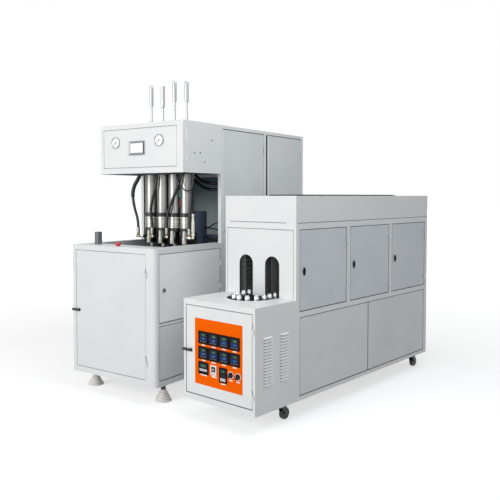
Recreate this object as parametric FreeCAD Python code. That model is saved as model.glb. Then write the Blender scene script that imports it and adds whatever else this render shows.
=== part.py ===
import FreeCAD, Part
import math
import os

# A two-station bottle blowing machine: a four-station press and, beside it, the preform oven.
# Millimetres, +Z up. The press faces -Y; the origin is on the floor under its front right foot.
# The press is drawn in its own frame: x = 0 is its right side, y = 0 its front.
# The oven is drawn in a frame of the same kind and is then turned and set beside the press.

V = FreeCAD.Vector
X_AXIS, Y_AXIS, Z_AXIS = V(1, 0, 0), V(0, 1, 0), V(0, 0, 1)

# Sheet metal
sheet = 3.0                  # casing walls
pan_sheet = 2.0              # skin of doors and covers
pan_depth = 18.0             # depth of a door's folded edges
seam = 2.5                   # gap round a door or cover
rebate_depth = 22.0          # frame behind a door's edge
rebate_lip = 12.0
cover_depth = rebate_depth - pan_sheet   # a fixed cover seats on the frame's lip
fold_radius = 5.0            # outside of a door's or cover's folds
tower_fold_radius = 8.0

# Press
press_width = 819.0
press_depth = 1890.0
base_bottom = 127.0
table_height = 1051.0
head_front = 278.0
head_bottom = 1562.0
press_top = 1922.0
tower_front = 702.0          # front of the rear cabinet that carries the head
corner_radius = 32.0         # near vertical corner of the base
flange_width = 28.0          # white strips each side of the rear cabinet's mouth
foot_inset_x = 71.0
foot_inset_y = 145.0
foot_stem_radius = 17.0
foot_profile = (             # radius and height, up the ridged side of a pad
    (57.0, 0.0), (57.0, 6.0), (50.0, 14.0), (47.0, 20.0), (38.0, 32.0), (36.0, 38.0),
    (28.0, 50.0), (26.0, 56.0), (22.0, 66.0), (21.0, 78.0), (foot_stem_radius, 80.0))
partition_front = 1284.0     # sheet across the rear cabinet, between its doors
slot_gap = (1301.0, 1323.0)  # open slot between the rear cabinet's doors: near and far edge

# Mould clamp
tie_bar_radius = 22.5
tie_bar_low, tie_bar_high = 665.0, 940.0
tie_bar_edge = 30.0          # from a platen's side to a bar's axis
platen_gap = 14.0            # from the well's sides to the platens
platen_bottom, platen_top = 620.0, 985.0
platen_thickness = 40.0
daylight = 360.0             # between the open platens
end_plate_thickness = 30.0
end_plate_front = 100.0
end_plate_back = 1060.0
end_plate_top = 1000.0
end_plate_inset = 34.0
clamp_cylinder_radius = 80.0
clamp_cylinder_length = 160.0
clamp_rod_radius = 25.0
mould_hole_radius = 7.0
mould_hole_depth = 30.0
mould_hole_span_x = 400.0
mould_hole_span_z = 240.0
rail_width = 70.0
rail_top = 550.0
rail_thickness = 6.0

# Well in the table, over the clamp
well_left, well_right = 64.0 - press_width, -67.0
well_front, well_back = 147.0, 850.0
well_skirt_bottom = tie_bar_high + tie_bar_radius + 4.5
platen_width = well_right - well_left - 2 * platen_gap
tie_bar_span_x = platen_width - 2 * tie_bar_edge

# Doors and covers of the press: near edge, far edge, bottom, top
base_door = (35.0 - press_width, -92.0, base_bottom + 43.0, table_height - 41.0)
base_side_door = (36.0, tower_front - 12.0, 555.0, table_height - 40.0)
base_side_cover = (36.0, tower_front - 12.0, base_bottom + 43.0, 530.0)
tower_door_front = (tower_front + 20.0, 1265.0, table_height + 79.0, press_top - 29.0)
tower_door_back = (1330.0, press_depth - 41.0, table_height + 79.0, press_top - 29.0)
head_panel = (33.0 - press_width, -58.0, head_bottom + 44.0, press_top - 36.0)
side_hinge_centres = (721.0, 887.0)      # heights of the base side door's hinges

# Inlets low at the back of both machines: x and z of their axes
rear_air = (-200.0, 300.0)
rear_cable = (-320.0, 300.0)
oven_gland = (-300.0, 300.0)
air_boss_radius, air_bore_radius = 24.0, 9.5
gland_radius, gland_bore_radius = 20.0, 10.0
inlet_length = 25.0

# Stretch-blow stations
stretch_tube_radius = 50.0
ring_radius = stretch_tube_radius + 8.0
seal_cylinder_radius = ring_radius - 2.0
ring_gap = 3.0               # between neighbouring clamp rings
station_count = 4
station_pitch = 2 * ring_radius + ring_gap
row_x = (well_left + well_right) / 2
row_y = 589.0
nozzle_block_bottom = 1040.0
nozzle_block_top = 1132.0
nozzle_block_width = 84.0
nozzle_block_front = row_y - ring_radius + 17.0
flange_top = 1158.0
seal_cylinder_top = 1241.0
ring_top = 1271.0
stretch_tube_top = 1700.0
stretch_cap_height = 22.0
nozzle_radius = 20.0
nozzle_bottom = 985.0
nozzle_bore = 9.0
rod_radius = 8.5
needle_rod_radius = 8.0
cap_radius = 16.0
rod_cap_length = 158.0
flat_cap = 1                 # the rod whose cap is flat, with a nut under it
nut_radius, nut_height = 13.0, 9.0
rod_tops = [2250.0, 2235.0, 2265.0, 2251.0]
rod_step = 1640.0            # where the rod narrows, inside its cylinder
rod_tip = 1010.0
rod_stroke = 300.0
column_front = row_y + ring_radius + 5.0
column_back = column_front + 138.0
column_width = (station_count - 1) * station_pitch + 53.0
column_bottom, column_top = 1003.0, 1283.0
column_wall = 8.0
cross_beam = 50.0

# On the table's front rim
stop_button_place = (row_x + 26.0, 36.0)
stop_stem_radius = 11.0
stop_cap_radius = 21.0
stop_travel = 5.0
table_post_place = (162.0 - press_width, 100.0)
table_post_size = (40.0, 40.0, 90.0)

# Oven
oven_width = 599.0
oven_length = 2134.0
oven_bottom = 121.0
oven_top = 1400.0
control_depth = 385.0
control_top = 754.0
oven_corner = (842.0, -71.0)   # its front right corner, in the press frame
oven_turn = -6.41              # degrees about Z
control_door = (22.0 - oven_width, -22.0, oven_bottom + 41.0, control_top - 38.0)
oven_door_count = 3
oven_door_post = 49.0        # between one door and the next
oven_door_first = control_depth + 39.0
oven_door_pitch = (oven_length - control_depth - 36.0) / oven_door_count
oven_door_width = oven_door_pitch - oven_door_post
oven_door_bottom, oven_door_top = 682.0, 1188.0
oven_cover_bottom, oven_cover_top = oven_bottom + 31.0, 641.0
oven_cover_edges = (control_depth + 42.0, 1233.5, oven_length - 48.0)
slot_panel = (19.0 - oven_width, -24.0, control_top + 3.0, 1186.0)
slot_width = 118.0
slot_top = 1016.0
hood_joint = 1231.0          # groove under the hood
hood_groove_width, hood_groove_depth = 2.5, 2.0
louvre_columns = ((76.0, 154.0), (229.0, 307.0))   # on the control cabinet's right side
louvre_rows = 16
louvre_bottom, louvre_top = 285.0, 579.0
louvre_lift = 5.0

# Preform carrier
carrier_x = -3.5 - oven_width / 2
chain_pitch = 57.15
sprocket_teeth = 12
carrier_front = 307.0
carrier_end_gap = 280.0      # least room behind the rear sprocket's axis
straight_pitches = int((oven_length - carrier_front - carrier_end_gap) / chain_pitch)
chain_height = 705.0
roller_radius = 8.0
roller_height = 12.0
link_thickness = 4.0
link_width = 16.0
holder_cap_radius = 16.5
holder_cap_bottom, holder_cap_top = 749.0, 781.0
carrier_opening_radius = 155.0
bed_top = 670.0
bed_thickness = 6.0
bearing_radius, bearing_height = 34.0, 24.0
shaft_radius = 12.5
gearbox_size, gearbox_height = 120.0, 110.0
motor_radius, motor_length = 55.0, 210.0

# Heaters
lamp_rows = 8
lamp_first = 806.0
lamp_pitch = 30.0
lamp_radius = 5.0
lamp_offset = 66.0           # from the carrier's straight run
reflector_gap = 25.0
inner_reflector_offset = 47.0
heater_front = 442.0
heater_end_gap = 110.0       # from the heaters' ends to the rear sprocket's axis
heater_back = carrier_front + straight_pitches * chain_pitch - heater_end_gap
reflector_top = 1050.0

# Casters of the oven
caster_inset = 84.0
caster_rows = (350.0, oven_length - caster_inset)
wheel_radius = 37.5
wheel_width = 28.0
caster_trail = 25.0
axle_radius = 5.0
king_pin_radius = 8.0

# Hinges and latches
hinge_radius = 5.5
hinge_offset = 6.2           # axis in front of the door's face
hinge_half = 30.0
hinge_leaf = 14.0
hinge_pin_radius = 3.0
running_gap = 0.05
side_gap = 0.3
latch_shaft_radius = 6.0
latch_half = 8.0             # half the width of a lever or a cam
rosette_radius = 11.0
base_latch_place = (32.0, 578.0)         # in from the door's near edge, and height
base_lever, control_lever = 66.0, 68.0   # lengths
control_latch_place = (45.0, 434.0)
side_lock_place = (43.5, 771.0)
side_lock_radius = 13.0
oven_latch_place = (39.0, 929.0)
lens_half_width, lens_half_height = 10.0, 26.0

# Control door instruments
controller_size = 80.0
controller_pitch_x = 87.7
controller_left = -461.0
controller_rows = (488.0, 393.0)
instrument_depth = 60.0
bezel = 6.0
lower_row = {                 # left, right, bottom, top
    "timer": (-461.0, -378.0, 301.0, 376.0),
    "breaker": (-353.0, -306.0, 309.0, 369.0),
    "counter": (-282.0, -222.0, 277.0, 368.0),
}
knob_places = (-190.0, -132.0)
knob_height = 335.0
knob_radius = 14.0

# Head instruments
gauge_places = (162.0 - press_width, -221.0)
gauge_height = head_bottom + 229.0
gauge_radius = 43.0
screen = (row_x - 109.0, row_x + 53.0, head_bottom + 130.0, head_bottom + 236.0)

hoses = []                    # filled below: name, radius, points in the press frame
hose_radius = 11.0
rear_hose_radius = 11.5
pilot_radius = 5.0
cable_radius = 5.0
grommet_gap = 0.8
coupling_wall = 3.0
coupling_length = 60.0
port_bottom, port_top = 1078.0, 1098.0
silencer_offset = 33.0        # from a station's axis
silencer_radius = 15.0
silencer_bottom, silencer_top = 1043.0, 1138.0
fitting_front = 32.0          # from the blocks' fronts to the fittings' axes


def box(x0, x1, y0, y1, z0, z1):
    return Part.makeBox(x1 - x0, y1 - y0, z1 - z0, V(x0, y0, z0))


def rod(start, direction, length, radius):
    return Part.makeCylinder(radius, length, V(*start), direction)


def fuse(parts):
    whole = parts[0]
    if len(parts) > 1:
        whole = whole.multiFuse(parts[1:])
    return whole.removeSplitter()


def cut(body, tools):
    return body.cut(tools)


def prism(points, height, direction=Z_AXIS):
    """Extrude a closed outline of points."""
    outline = Part.makePolygon([V(*p) for p in points] + [V(*points[0])])
    return Part.Face(outline).extrude(direction * height)


def turned(profile, x, y):
    """A solid turned about a vertical axis, from (radius, height) points."""
    outline = Part.makePolygon([V(x + r, y, z) for r, z in profile + profile[:1]])
    return Part.Face(outline).revolve(V(x, y, 0), Z_AXIS, 360)


def footprint(inset, z0, z1):
    """The base's plan with its one rounded corner, drawn in by inset, as a prism."""
    left, right = -press_width + inset, -inset
    front, back = inset, press_depth - inset
    r = corner_radius - inset
    mid = r * (1 - math.sqrt(0.5))
    edges = [
        Part.LineSegment(V(left, front, z0), V(right - r, front, z0)).toShape(),
        Part.Arc(V(right - r, front, z0), V(right - mid, front + mid, z0),
                 V(right, front + r, z0)).toShape(),
        Part.LineSegment(V(right, front + r, z0), V(right, back, z0)).toShape(),
        Part.LineSegment(V(right, back, z0), V(left, back, z0)).toShape(),
        Part.LineSegment(V(left, back, z0), V(left, front, z0)).toShape(),
    ]
    return Part.Face(Part.Wire(edges)).extrude(V(0, 0, z1 - z0))


# ---------------------------------------------------------------- frames of a door
# A door is drawn with its face in the plane y = 0 looking to -Y, hinged at x = 0 on its right
# edge, so that it reaches to -x. These carry it to the front or to the right side of a casing.

def to_front(shape, hinge_x):
    shape = shape.copy()
    shape.translate(V(hinge_x, 0, 0))
    return shape


def to_side(shape, hinge_y):
    shape = shape.copy()
    shape.rotate(V(0, 0, 0), Z_AXIS, 90)
    shape.translate(V(0, hinge_y, 0))
    return shape


def door_width(door):
    return door[1] - door[0]


def hinge_line(door):
    """Where the hinge's axis stands: in the middle of the gap beside the far edge."""
    return door[1] + seam / 2


def front_edges(solid):
    """The edges that lie wholly in a solid's foremost plane."""
    front = solid.BoundBox.YMin
    return [e for e in solid.Edges if e.BoundBox.YMax < front + 0.01]


def pan(x0, x1, z0, z1, depth, fold):
    """A folded sheet: a skin with four edges turned back round the fold's radius."""
    skin = box(x0, x1, 0, depth, z0, z1)
    hollow = box(x0 + pan_sheet, x1 - pan_sheet, pan_sheet, depth + 1,
                 z0 + pan_sheet, z1 - pan_sheet)
    skin = skin.makeFillet(fold, front_edges(skin))
    hollow = hollow.makeFillet(fold - pan_sheet, front_edges(hollow))
    return cut(skin, [hollow])


def cover_pan(cover):
    """A fixed cover in a door's place."""
    return pan(-seam / 2 - door_width(cover), -seam / 2, cover[2], cover[3], cover_depth, fold_radius)


def hinge_heights(door):
    """The lower ends of a door's two hinges."""
    if door is base_side_door:
        return [centre - hinge_half for centre in side_hinge_centres]
    reach = 0.15 * (door[3] - door[2])
    return [door[2] + reach - hinge_half, door[3] - reach - hinge_half]


def hinge_fixed(z):
    """Lower half of a lift-off hinge, with its pin, welded to the frame."""
    axis = (0, -hinge_offset, z)
    barrel = rod(axis, Z_AXIS, hinge_half, hinge_radius)
    pin = rod(axis, Z_AXIS, hinge_half * 1.7, hinge_pin_radius)
    leaf = box(0, hinge_leaf, -hinge_offset - 1.5, 0, z, z + hinge_half)
    return fuse([barrel, pin, leaf])


def hinge_moving(z):
    """Upper half, bored for the pin, welded to the door."""
    foot = z + hinge_half + side_gap
    barrel = rod((0, -hinge_offset, foot), Z_AXIS, hinge_half, hinge_radius)
    leaf = box(-hinge_leaf, 0, -hinge_offset - 1.5, 0, foot, foot + hinge_half)
    bore = rod((0, -hinge_offset, foot - 1), Z_AXIS, hinge_half * 0.7 + 1.5,
               hinge_pin_radius + running_gap)
    relief = box(-seam, hinge_leaf, -hinge_offset, 0, foot, foot + hinge_half)
    whole = barrel.fuse(leaf)
    corner = cut(relief, [rod((0, -hinge_offset, foot - 1), Z_AXIS, hinge_half + 2, hinge_radius)])
    return cut(whole, [bore, corner])


def hinged_door(door, latch_place=None, fold=fold_radius):
    """Door in its own frame, with its hinge halves and the hole for its latch."""
    width = door_width(door)
    body = pan(-seam / 2 - width, -seam / 2, door[2], door[3], pan_depth, fold)
    body = fuse([body] + [hinge_moving(z) for z in hinge_heights(door)])
    if latch_place is not None:
        x = latch_x(door, latch_place)
        hole = rod((x, -1, latch_place[1]), Y_AXIS, pan_sheet + 2, latch_shaft_radius + side_gap)
        body = cut(body, [hole])
    return body


def door_hole(door):
    """What a casing's wall loses where the door goes in."""
    width = door_width(door)
    return box(-1.5 * seam - width, seam / 2, -1, sheet + 1, door[2] - seam, door[3] + seam)


def door_rebate(door):
    """The frame behind the door's edge, with the lip that the door's latch grips."""
    width = door_width(door)
    x0, x1 = -1.5 * seam - width, seam / 2
    z0, z1 = door[2] - seam, door[3] + seam
    ring = box(x0 - pan_sheet, x1 + pan_sheet, sheet, rebate_depth, z0 - pan_sheet, z1 + pan_sheet)
    room = box(x0, x1, 0, rebate_depth - pan_sheet, z0, z1)
    mouth = box(x0 + rebate_lip, x1 - rebate_lip, 0, rebate_depth + 1,
                z0 + rebate_lip, z1 - rebate_lip)
    return cut(ring, [room, mouth])


def latch_x(door, place):
    return -seam / 2 - door_width(door) + place[0]


def latch(door, place, handle):
    """Quarter-turn latch: its handle, the shaft and the cam behind the frame, in one piece."""
    x = latch_x(door, place)
    z = place[1]
    handle.translate(V(x, 0, z))
    shaft = rod((x, -side_gap - 1, z), Y_AXIS, rebate_depth + 6.5, latch_shaft_radius)
    cam_y = rebate_depth + 1.5
    cam_reach = place[0] + 14
    cam = box(x - latch_half, x + latch_half, cam_y, cam_y + 3.5, z - cam_reach, z + latch_half)
    return fuse([handle, shaft, cam])


def bar_handle(length):
    """Rosette with a straight lever to the left."""
    rosette = rod((0, -side_gap, 0), -Y_AXIS, 5.0, rosette_radius)
    front, back = -14.0, -5.0
    lever = box(-length, latch_half, front, back, -latch_half, latch_half)
    tips = [e for e in lever.Edges if abs(e.Length - (back - front)) < 0.01]
    lever = lever.makeFillet(latch_half * 0.75, tips)
    return rosette.fuse(lever)


def lens_handle():
    """Flat handle, pointed at both ends, on a low rosette."""
    rosette = rod((0, -side_gap, 0), -Y_AXIS, 3.0, lens_half_width - 2)
    front, back = -9.0, -3.0
    low, high = V(0, front, -lens_half_height), V(0, front, lens_half_height)
    arcs = [Part.Arc(low, V(lens_half_width, front, 0), high).toShape(),
            Part.Arc(high, V(-lens_half_width, front, 0), low).toShape()]
    return rosette.fuse(Part.Face(Part.Wire(arcs)).extrude(V(0, back - front, 0)))


def key_lock():
    """Round lock with an upright slot for its key."""
    body = rod((0, -side_gap, 0), -Y_AXIS, 8.0, side_lock_radius)
    body = body.makeFillet(2.0, front_edges(body))
    return cut(body, [box(-1.5, 1.5, -10, -5, -6, 6)])


# ---------------------------------------------------------------- press

def press_base():
    shell = cut(footprint(0, base_bottom, table_height - sheet),
                [footprint(sheet, base_bottom + sheet, table_height)])
    cover_hole = door_hole(base_side_cover)
    holes = [to_front(door_hole(base_door), hinge_line(base_door)),
             to_side(door_hole(base_side_door), hinge_line(base_side_door)),
             to_side(cover_hole, hinge_line(base_side_cover))]
    frames = [to_front(door_rebate(base_door), hinge_line(base_door)),
              to_side(door_rebate(base_side_door), hinge_line(base_side_door)),
              to_side(door_rebate(base_side_cover), hinge_line(base_side_cover))]
    hinges = [to_front(hinge_fixed(z), hinge_line(base_door)) for z in hinge_heights(base_door)]
    hinges += [to_side(hinge_fixed(z), hinge_line(base_side_door))
               for z in hinge_heights(base_side_door)]
    shell = fuse([cut(shell, holes)] + frames + hinges + clamp_rails() + rear_inlets())
    return cut(shell, rear_inlet_bores())


def clamp_rails():
    """Angles along both walls that carry the clamp."""
    rails = []
    low = rail_top - rail_thickness
    for wall_x, inward in ((-press_width + sheet, 1), (-sheet, -1)):
        edge = wall_x + inward * rail_width
        x0, x1 = sorted((wall_x, edge))
        rails.append(box(x0, x1, end_plate_front - 20, press_depth - sheet, low, rail_top))
    return rails


def rear_inlets():
    y = press_depth
    return [rod((rear_air[0], y - sheet, rear_air[1]), Y_AXIS, inlet_length, air_boss_radius),
            rod((rear_cable[0], y - sheet, rear_cable[1]), Y_AXIS, inlet_length, gland_radius)]


def rear_inlet_bores():
    y = press_depth - 10
    return [rod((rear_air[0], y, rear_air[1]), Y_AXIS, inlet_length + 20, air_bore_radius),
            rod((rear_cable[0], y, rear_cable[1]), Y_AXIS, inlet_length + 20, gland_bore_radius)]


def table_top():
    """Cover plate of the base, with the well and the skirts round it."""
    plate = footprint(0, table_height - sheet, table_height)
    low = well_skirt_bottom
    skirt = cut(box(well_left, well_right, well_front, well_back, low, table_height - 1),
                [box(well_left + sheet, well_right - sheet, well_front + sheet, well_back - sheet,
                     low - 1, table_height)])
    well = box(well_left + sheet, well_right - sheet, well_front + sheet, well_back - sheet,
               low - 1, table_height + 1)
    button_hole = rod((stop_button_place[0], stop_button_place[1], table_height - 20), Z_AXIS, 40,
                      stop_stem_radius + side_gap)
    return cut(plate.fuse(skirt), [well, button_hole]).removeSplitter()


def stop_button():
    """Mushroom button on the front rim, on a stem through the plate."""
    x, y = stop_button_place
    base = table_height + stop_travel + side_gap
    profile = [(0, table_height - 22), (stop_stem_radius, table_height - 22),
               (stop_stem_radius, base), (stop_cap_radius, base + 4), (stop_cap_radius, base + 12),
               (stop_cap_radius - 7, base + 20), (0, base + 22)]
    return turned(profile, x, y)


def table_post():
    x, y = table_post_place
    w, d, h = table_post_size
    post = box(x - w / 2, x + w / 2, y - d / 2, y + d / 2, table_height, table_height + h)
    return post.makeFillet(4.0, [e for e in post.Edges if e.Length > h - 1])


def levelling_feet():
    """Ridged plastic pads and threaded steel stems."""
    solids = []
    pad_top = foot_profile[-1][1]
    pad = [(0, 0)] + list(foot_profile) + [(0, pad_top)]
    for x in (-foot_inset_x, foot_inset_x - press_width):
        for y in (foot_inset_y, press_depth - foot_inset_y):
            solids.append(turned(pad, x, y))
            solids.append(rod((x, y, pad_top), Z_AXIS, base_bottom - pad_top, foot_stem_radius))
    return Part.makeCompound(solids)


def station_xs():
    first = row_x - station_pitch * (station_count - 1) / 2
    return [first + station_pitch * i for i in range(station_count)]


def head_casing():
    """Box over the stations, open at the back to the rear cabinet."""
    shell = cut(box(-press_width, 0, head_front, tower_front, head_bottom, press_top),
                [box(-press_width + sheet, -sheet, head_front + sheet, tower_front + 1,
                     head_bottom + sheet, press_top - sheet)])
    hole = to_front(door_hole(head_panel), hinge_line(head_panel))
    hole.translate(V(0, head_front, 0))
    frame = to_front(door_rebate(head_panel), hinge_line(head_panel))
    frame.translate(V(0, head_front, 0))
    tools = [hole]
    for x in station_xs():
        tools.append(rod((x, row_y, head_bottom - 1), Z_AXIS, 10, stretch_tube_radius + 1.5))
        tools.append(rod((x, row_y, press_top - 10), Z_AXIS, 20, cap_radius + 3.5))
    for name, radius, points in hoses:
        tools.append(hose_tube(radius + grommet_gap, points))
    return fuse([cut(shell, tools), frame])


def head_front_panel():
    """Cover with the openings for the gauges and the screen."""
    body = to_front(cover_pan(head_panel), hinge_line(head_panel))
    body.translate(V(0, head_front, 0))
    tools = []
    for x in gauge_places:
        tools.append(rod((x, head_front - 1, gauge_height), Y_AXIS, 10, gauge_radius - 4.5))
    x0, x1, z0, z1 = screen
    tools.append(box(x0 + bezel, x1 - bezel, head_front - 1, head_front + 10, z0 + bezel, z1 - bezel))
    return cut(body, tools)


def pressure_gauges():
    """Round gauges: a case through the panel, a rim on it and the pin of the needle."""
    solids = []
    for x in gauge_places:
        start = (x, head_front, gauge_height)
        rim = rod(start, -Y_AXIS, 9.0, gauge_radius)
        dial_room = rod((x, head_front - 10, gauge_height), Y_AXIS, 7.0, gauge_radius - 5)
        case = rod(start, Y_AXIS, 32.0, gauge_radius - 5)
        pin = rod((x, head_front - 3.5, gauge_height), -Y_AXIS, 2.5, 2.0)
        solids.append(fuse([cut(rim, [dial_room]), case, pin]))
    return Part.makeCompound(solids)


def gauge_needle(x):
    """Needle on the gauge's pin, pointing down and left at zero."""
    hub = rod((x, head_front - 3.5, gauge_height), -Y_AXIS, 1.2, 5.0)
    arm = prism([(-2.2, 0, 9), (2.2, 0, 9), (0.7, 0, -30), (-0.7, 0, -30)], 1.2, -Y_AXIS)
    arm.translate(V(x, head_front - 3.5, gauge_height))
    arm.rotate(V(x, 0, gauge_height), Y_AXIS, 45)
    bore = rod((x, head_front, gauge_height), -Y_AXIS, 10, 2.0 + running_gap)
    needle = cut(fuse([hub, arm]), [bore])
    return needle


def touch_screen():
    """Operator's screen: a framed front on the panel and a case behind it."""
    x0, x1, z0, z1 = screen
    front = box(x0, x1, head_front - 6, head_front, z0, z1)
    glass = box(x0 + 14, x1 - 14, head_front - 7, head_front - 4.5, z0 + 12, z1 - 12)
    case = box(x0 + bezel + side_gap, x1 - bezel - side_gap, head_front - 2, head_front + 45,
               z0 + bezel + side_gap, z1 - bezel - side_gap)
    return fuse([cut(front, [glass]), case])


def rear_cabinet():
    """Tall cabinet behind the table, open at the front between two narrow strips."""
    z0 = table_height
    shell = cut(box(-press_width, 0, tower_front, press_depth, z0, press_top),
                [box(-press_width + sheet, -sheet, tower_front + sheet, press_depth - sheet,
                     z0 - 1, press_top - sheet)])
    mouth = box(-press_width + flange_width, -flange_width, tower_front - 1,
                tower_front + sheet + 1, z0 - 1, press_top - sheet)
    slot = box(-sheet - 1, 1, slot_gap[0], slot_gap[1], tower_door_front[2] + 3, tower_door_front[3])
    partition = box(-press_width + sheet, -sheet, partition_front, partition_front + sheet,
                    z0, press_top - sheet)
    holes = [mouth, slot]
    extras = [partition]
    for door in (tower_door_front, tower_door_back):
        holes.append(to_side(door_hole(door), hinge_line(door)))
        extras.append(to_side(door_rebate(door), hinge_line(door)))
        extras += [to_side(hinge_fixed(z), hinge_line(door)) for z in hinge_heights(door)]
    return fuse([cut(shell, holes)] + extras)


def station_bracket():
    """Welded column behind the stations, its cross beam, and the blow blocks in front of it."""
    half = column_width / 2
    column = box(row_x - half, row_x + half, column_front, column_back, column_bottom, column_top)
    wall = column_wall
    hollow = box(row_x - half + wall, row_x + half - wall, column_front + wall, column_back + 1,
                 column_bottom - 1, column_top - wall)
    beam = box(-press_width + sheet, -sheet, column_back, column_back + cross_beam,
               table_height, table_height + cross_beam)
    solids = [cut(column, [hollow]), beam]
    bores = []
    w = nozzle_block_width / 2
    for x in station_xs():
        solids.append(box(x - w, x + w, nozzle_block_front, column_front,
                          nozzle_block_bottom, nozzle_block_top))
        solids.append(rod((x, row_y, nozzle_block_top), Z_AXIS, flange_top - nozzle_block_top,
                          seal_cylinder_radius))
        bores.append(rod((x, row_y, nozzle_block_bottom - 1), Z_AXIS,
                         flange_top - nozzle_block_bottom + 2, nozzle_radius + side_gap))
    return cut(fuse(solids), bores)


def seal_cylinders():
    """Short cylinders that press the nozzles onto the preforms."""
    solids = []
    for x in station_xs():
        body = rod((x, row_y, flange_top), Z_AXIS, seal_cylinder_top - flange_top,
                   seal_cylinder_radius)
        bore = rod((x, row_y, flange_top - 1), Z_AXIS, 200, needle_rod_radius + side_gap)
        solids.append(cut(body, [bore]))
    return Part.makeCompound(solids)


def stretch_cylinders():
    """Long chromed cylinders that drive the stretch rods: clamp ring, tube and end cap."""
    solids = []
    cap_top = stretch_tube_top + stretch_cap_height
    for x in station_xs():
        profile = [(needle_rod_radius + side_gap, seal_cylinder_top), (ring_radius, seal_cylinder_top),
                   (ring_radius, ring_top), (stretch_tube_radius, ring_top),
                   (stretch_tube_radius, stretch_tube_top),
                   (stretch_tube_radius + 6, stretch_tube_top), (stretch_tube_radius + 6, cap_top),
                   (rod_radius + running_gap, cap_top),
                   (rod_radius + running_gap, rod_step - rod_stroke - 5),
                   (needle_rod_radius + side_gap, rod_step - rod_stroke - 5)]
        solids.append(turned(profile, x, row_y))
    return Part.makeCompound(solids)


def stretch_rod(index):
    """Rod with its thick stop cap above the head; it narrows inside its cylinder."""
    x = station_xs()[index]
    top = rod_tops[index]
    stop = top - rod_cap_length
    if index == flat_cap:
        tip = [(cap_radius, top - 3), (cap_radius - 3, top), (0, top)]
    else:
        tip = [(cap_radius, top - 17), (cap_radius * 0.86, top - 9), (cap_radius * 0.5, top - 2), (0, top)]
    profile = [(0, rod_tip), (needle_rod_radius - 3, rod_tip), (needle_rod_radius, rod_tip + 3),
               (needle_rod_radius, rod_step), (rod_radius, rod_step), (rod_radius, stop),
               (cap_radius, stop)] + tip
    whole = turned(profile, x, row_y)
    if index == flat_cap:
        corners = [2 * math.pi * i / 6 for i in range(6)]
        nut = prism([(x + nut_radius * math.cos(a), row_y + nut_radius * math.sin(a), stop - nut_height)
                     for a in corners], nut_height)
        whole = whole.fuse(nut)
    return whole


def blow_nozzles():
    """Nozzles in the blocks' bores, with the collar that seals on a preform's neck."""
    solids = []
    top = flange_top - 4
    for x in station_xs():
        profile = [(nozzle_bore, nozzle_bottom), (nozzle_radius + 4, nozzle_bottom),
                   (nozzle_radius + 4, nozzle_bottom + 20), (nozzle_radius, nozzle_bottom + 24),
                   (nozzle_radius, top), (nozzle_bore, top)]
        solids.append(turned(profile, x, row_y))
    return Part.makeCompound(solids)


# ---------------------------------------------------------------- hoses and fittings

def set_hoses():
    """Routes of the hoses down to the blow blocks, and of those in the rear cabinet."""
    y = nozzle_block_front - fitting_front
    low = port_top + coupling_length
    xs = station_xs()
    left_end, right_end = xs[0] - 80, xs[3] + 83
    second_end, third_end = xs[1] - 50.5, xs[2] - 20
    hoses.append(("left", hose_radius, [
        (left_end + 69.5, y, 1640), (left_end + 29.5, y, 1560), (left_end - 65.5, y, 1450),
        (left_end - 42.5, y, 1310), (left_end, y, 1215), (left_end, y, low)]))
    hoses.append(("second", hose_radius, [
        (xs[1] + 7.5, y, 1650), (xs[1] + 4, y, 1510), (second_end + 1, y, 1370),
        (second_end - 20, y, 1268), (second_end, y, 1205), (second_end, y, low)]))
    hoses.append(("third", hose_radius, [
        (xs[3] + 27.5, y, 1690), (xs[3] + 21.5, y, 1590), (xs[3] - 29.5, y, 1465),
        (xs[2] + 26.5, y, 1345), (third_end + 10.5, y, 1262), (third_end, y, 1208),
        (third_end, y, low)]))
    hoses.append(("right", hose_radius, [
        (right_end + 25.5, y, 1625), (right_end + 21.5, y, 1480), (right_end + 15.5, y, 1335),
        (right_end, y, 1228), (right_end, y, low)]))
    y -= hose_radius + pilot_radius + 4
    hoses.append(("pilot", pilot_radius, [
        (xs[3] - 31.5, y, 1600), (xs[3] - 17.5, y, 1518), (xs[3] + 36.5, y, 1450),
        (xs[3] + 86.5, y, 1430), (xs[3] + 128.5, y, 1450), (xs[3] + 140.5, y, 1512),
        (xs[3] + 142.5, y, 1570)]))
    set_rear_hoses()


def bend_back(x, y, z, radius):
    """Route points of an even quarter turn from +X to +Y, which ends at x."""
    turns = 5
    step = math.pi / 2 / turns
    run = 2 * radius * math.tan(step / 2)
    points = [(x - radius + run / 2, y, z)]
    for i in range(1, turns):
        last_x, last_y, _ = points[-1]
        points.append((last_x + run * math.cos(i * step), last_y + run * math.sin(i * step), z))
    return points


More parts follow.
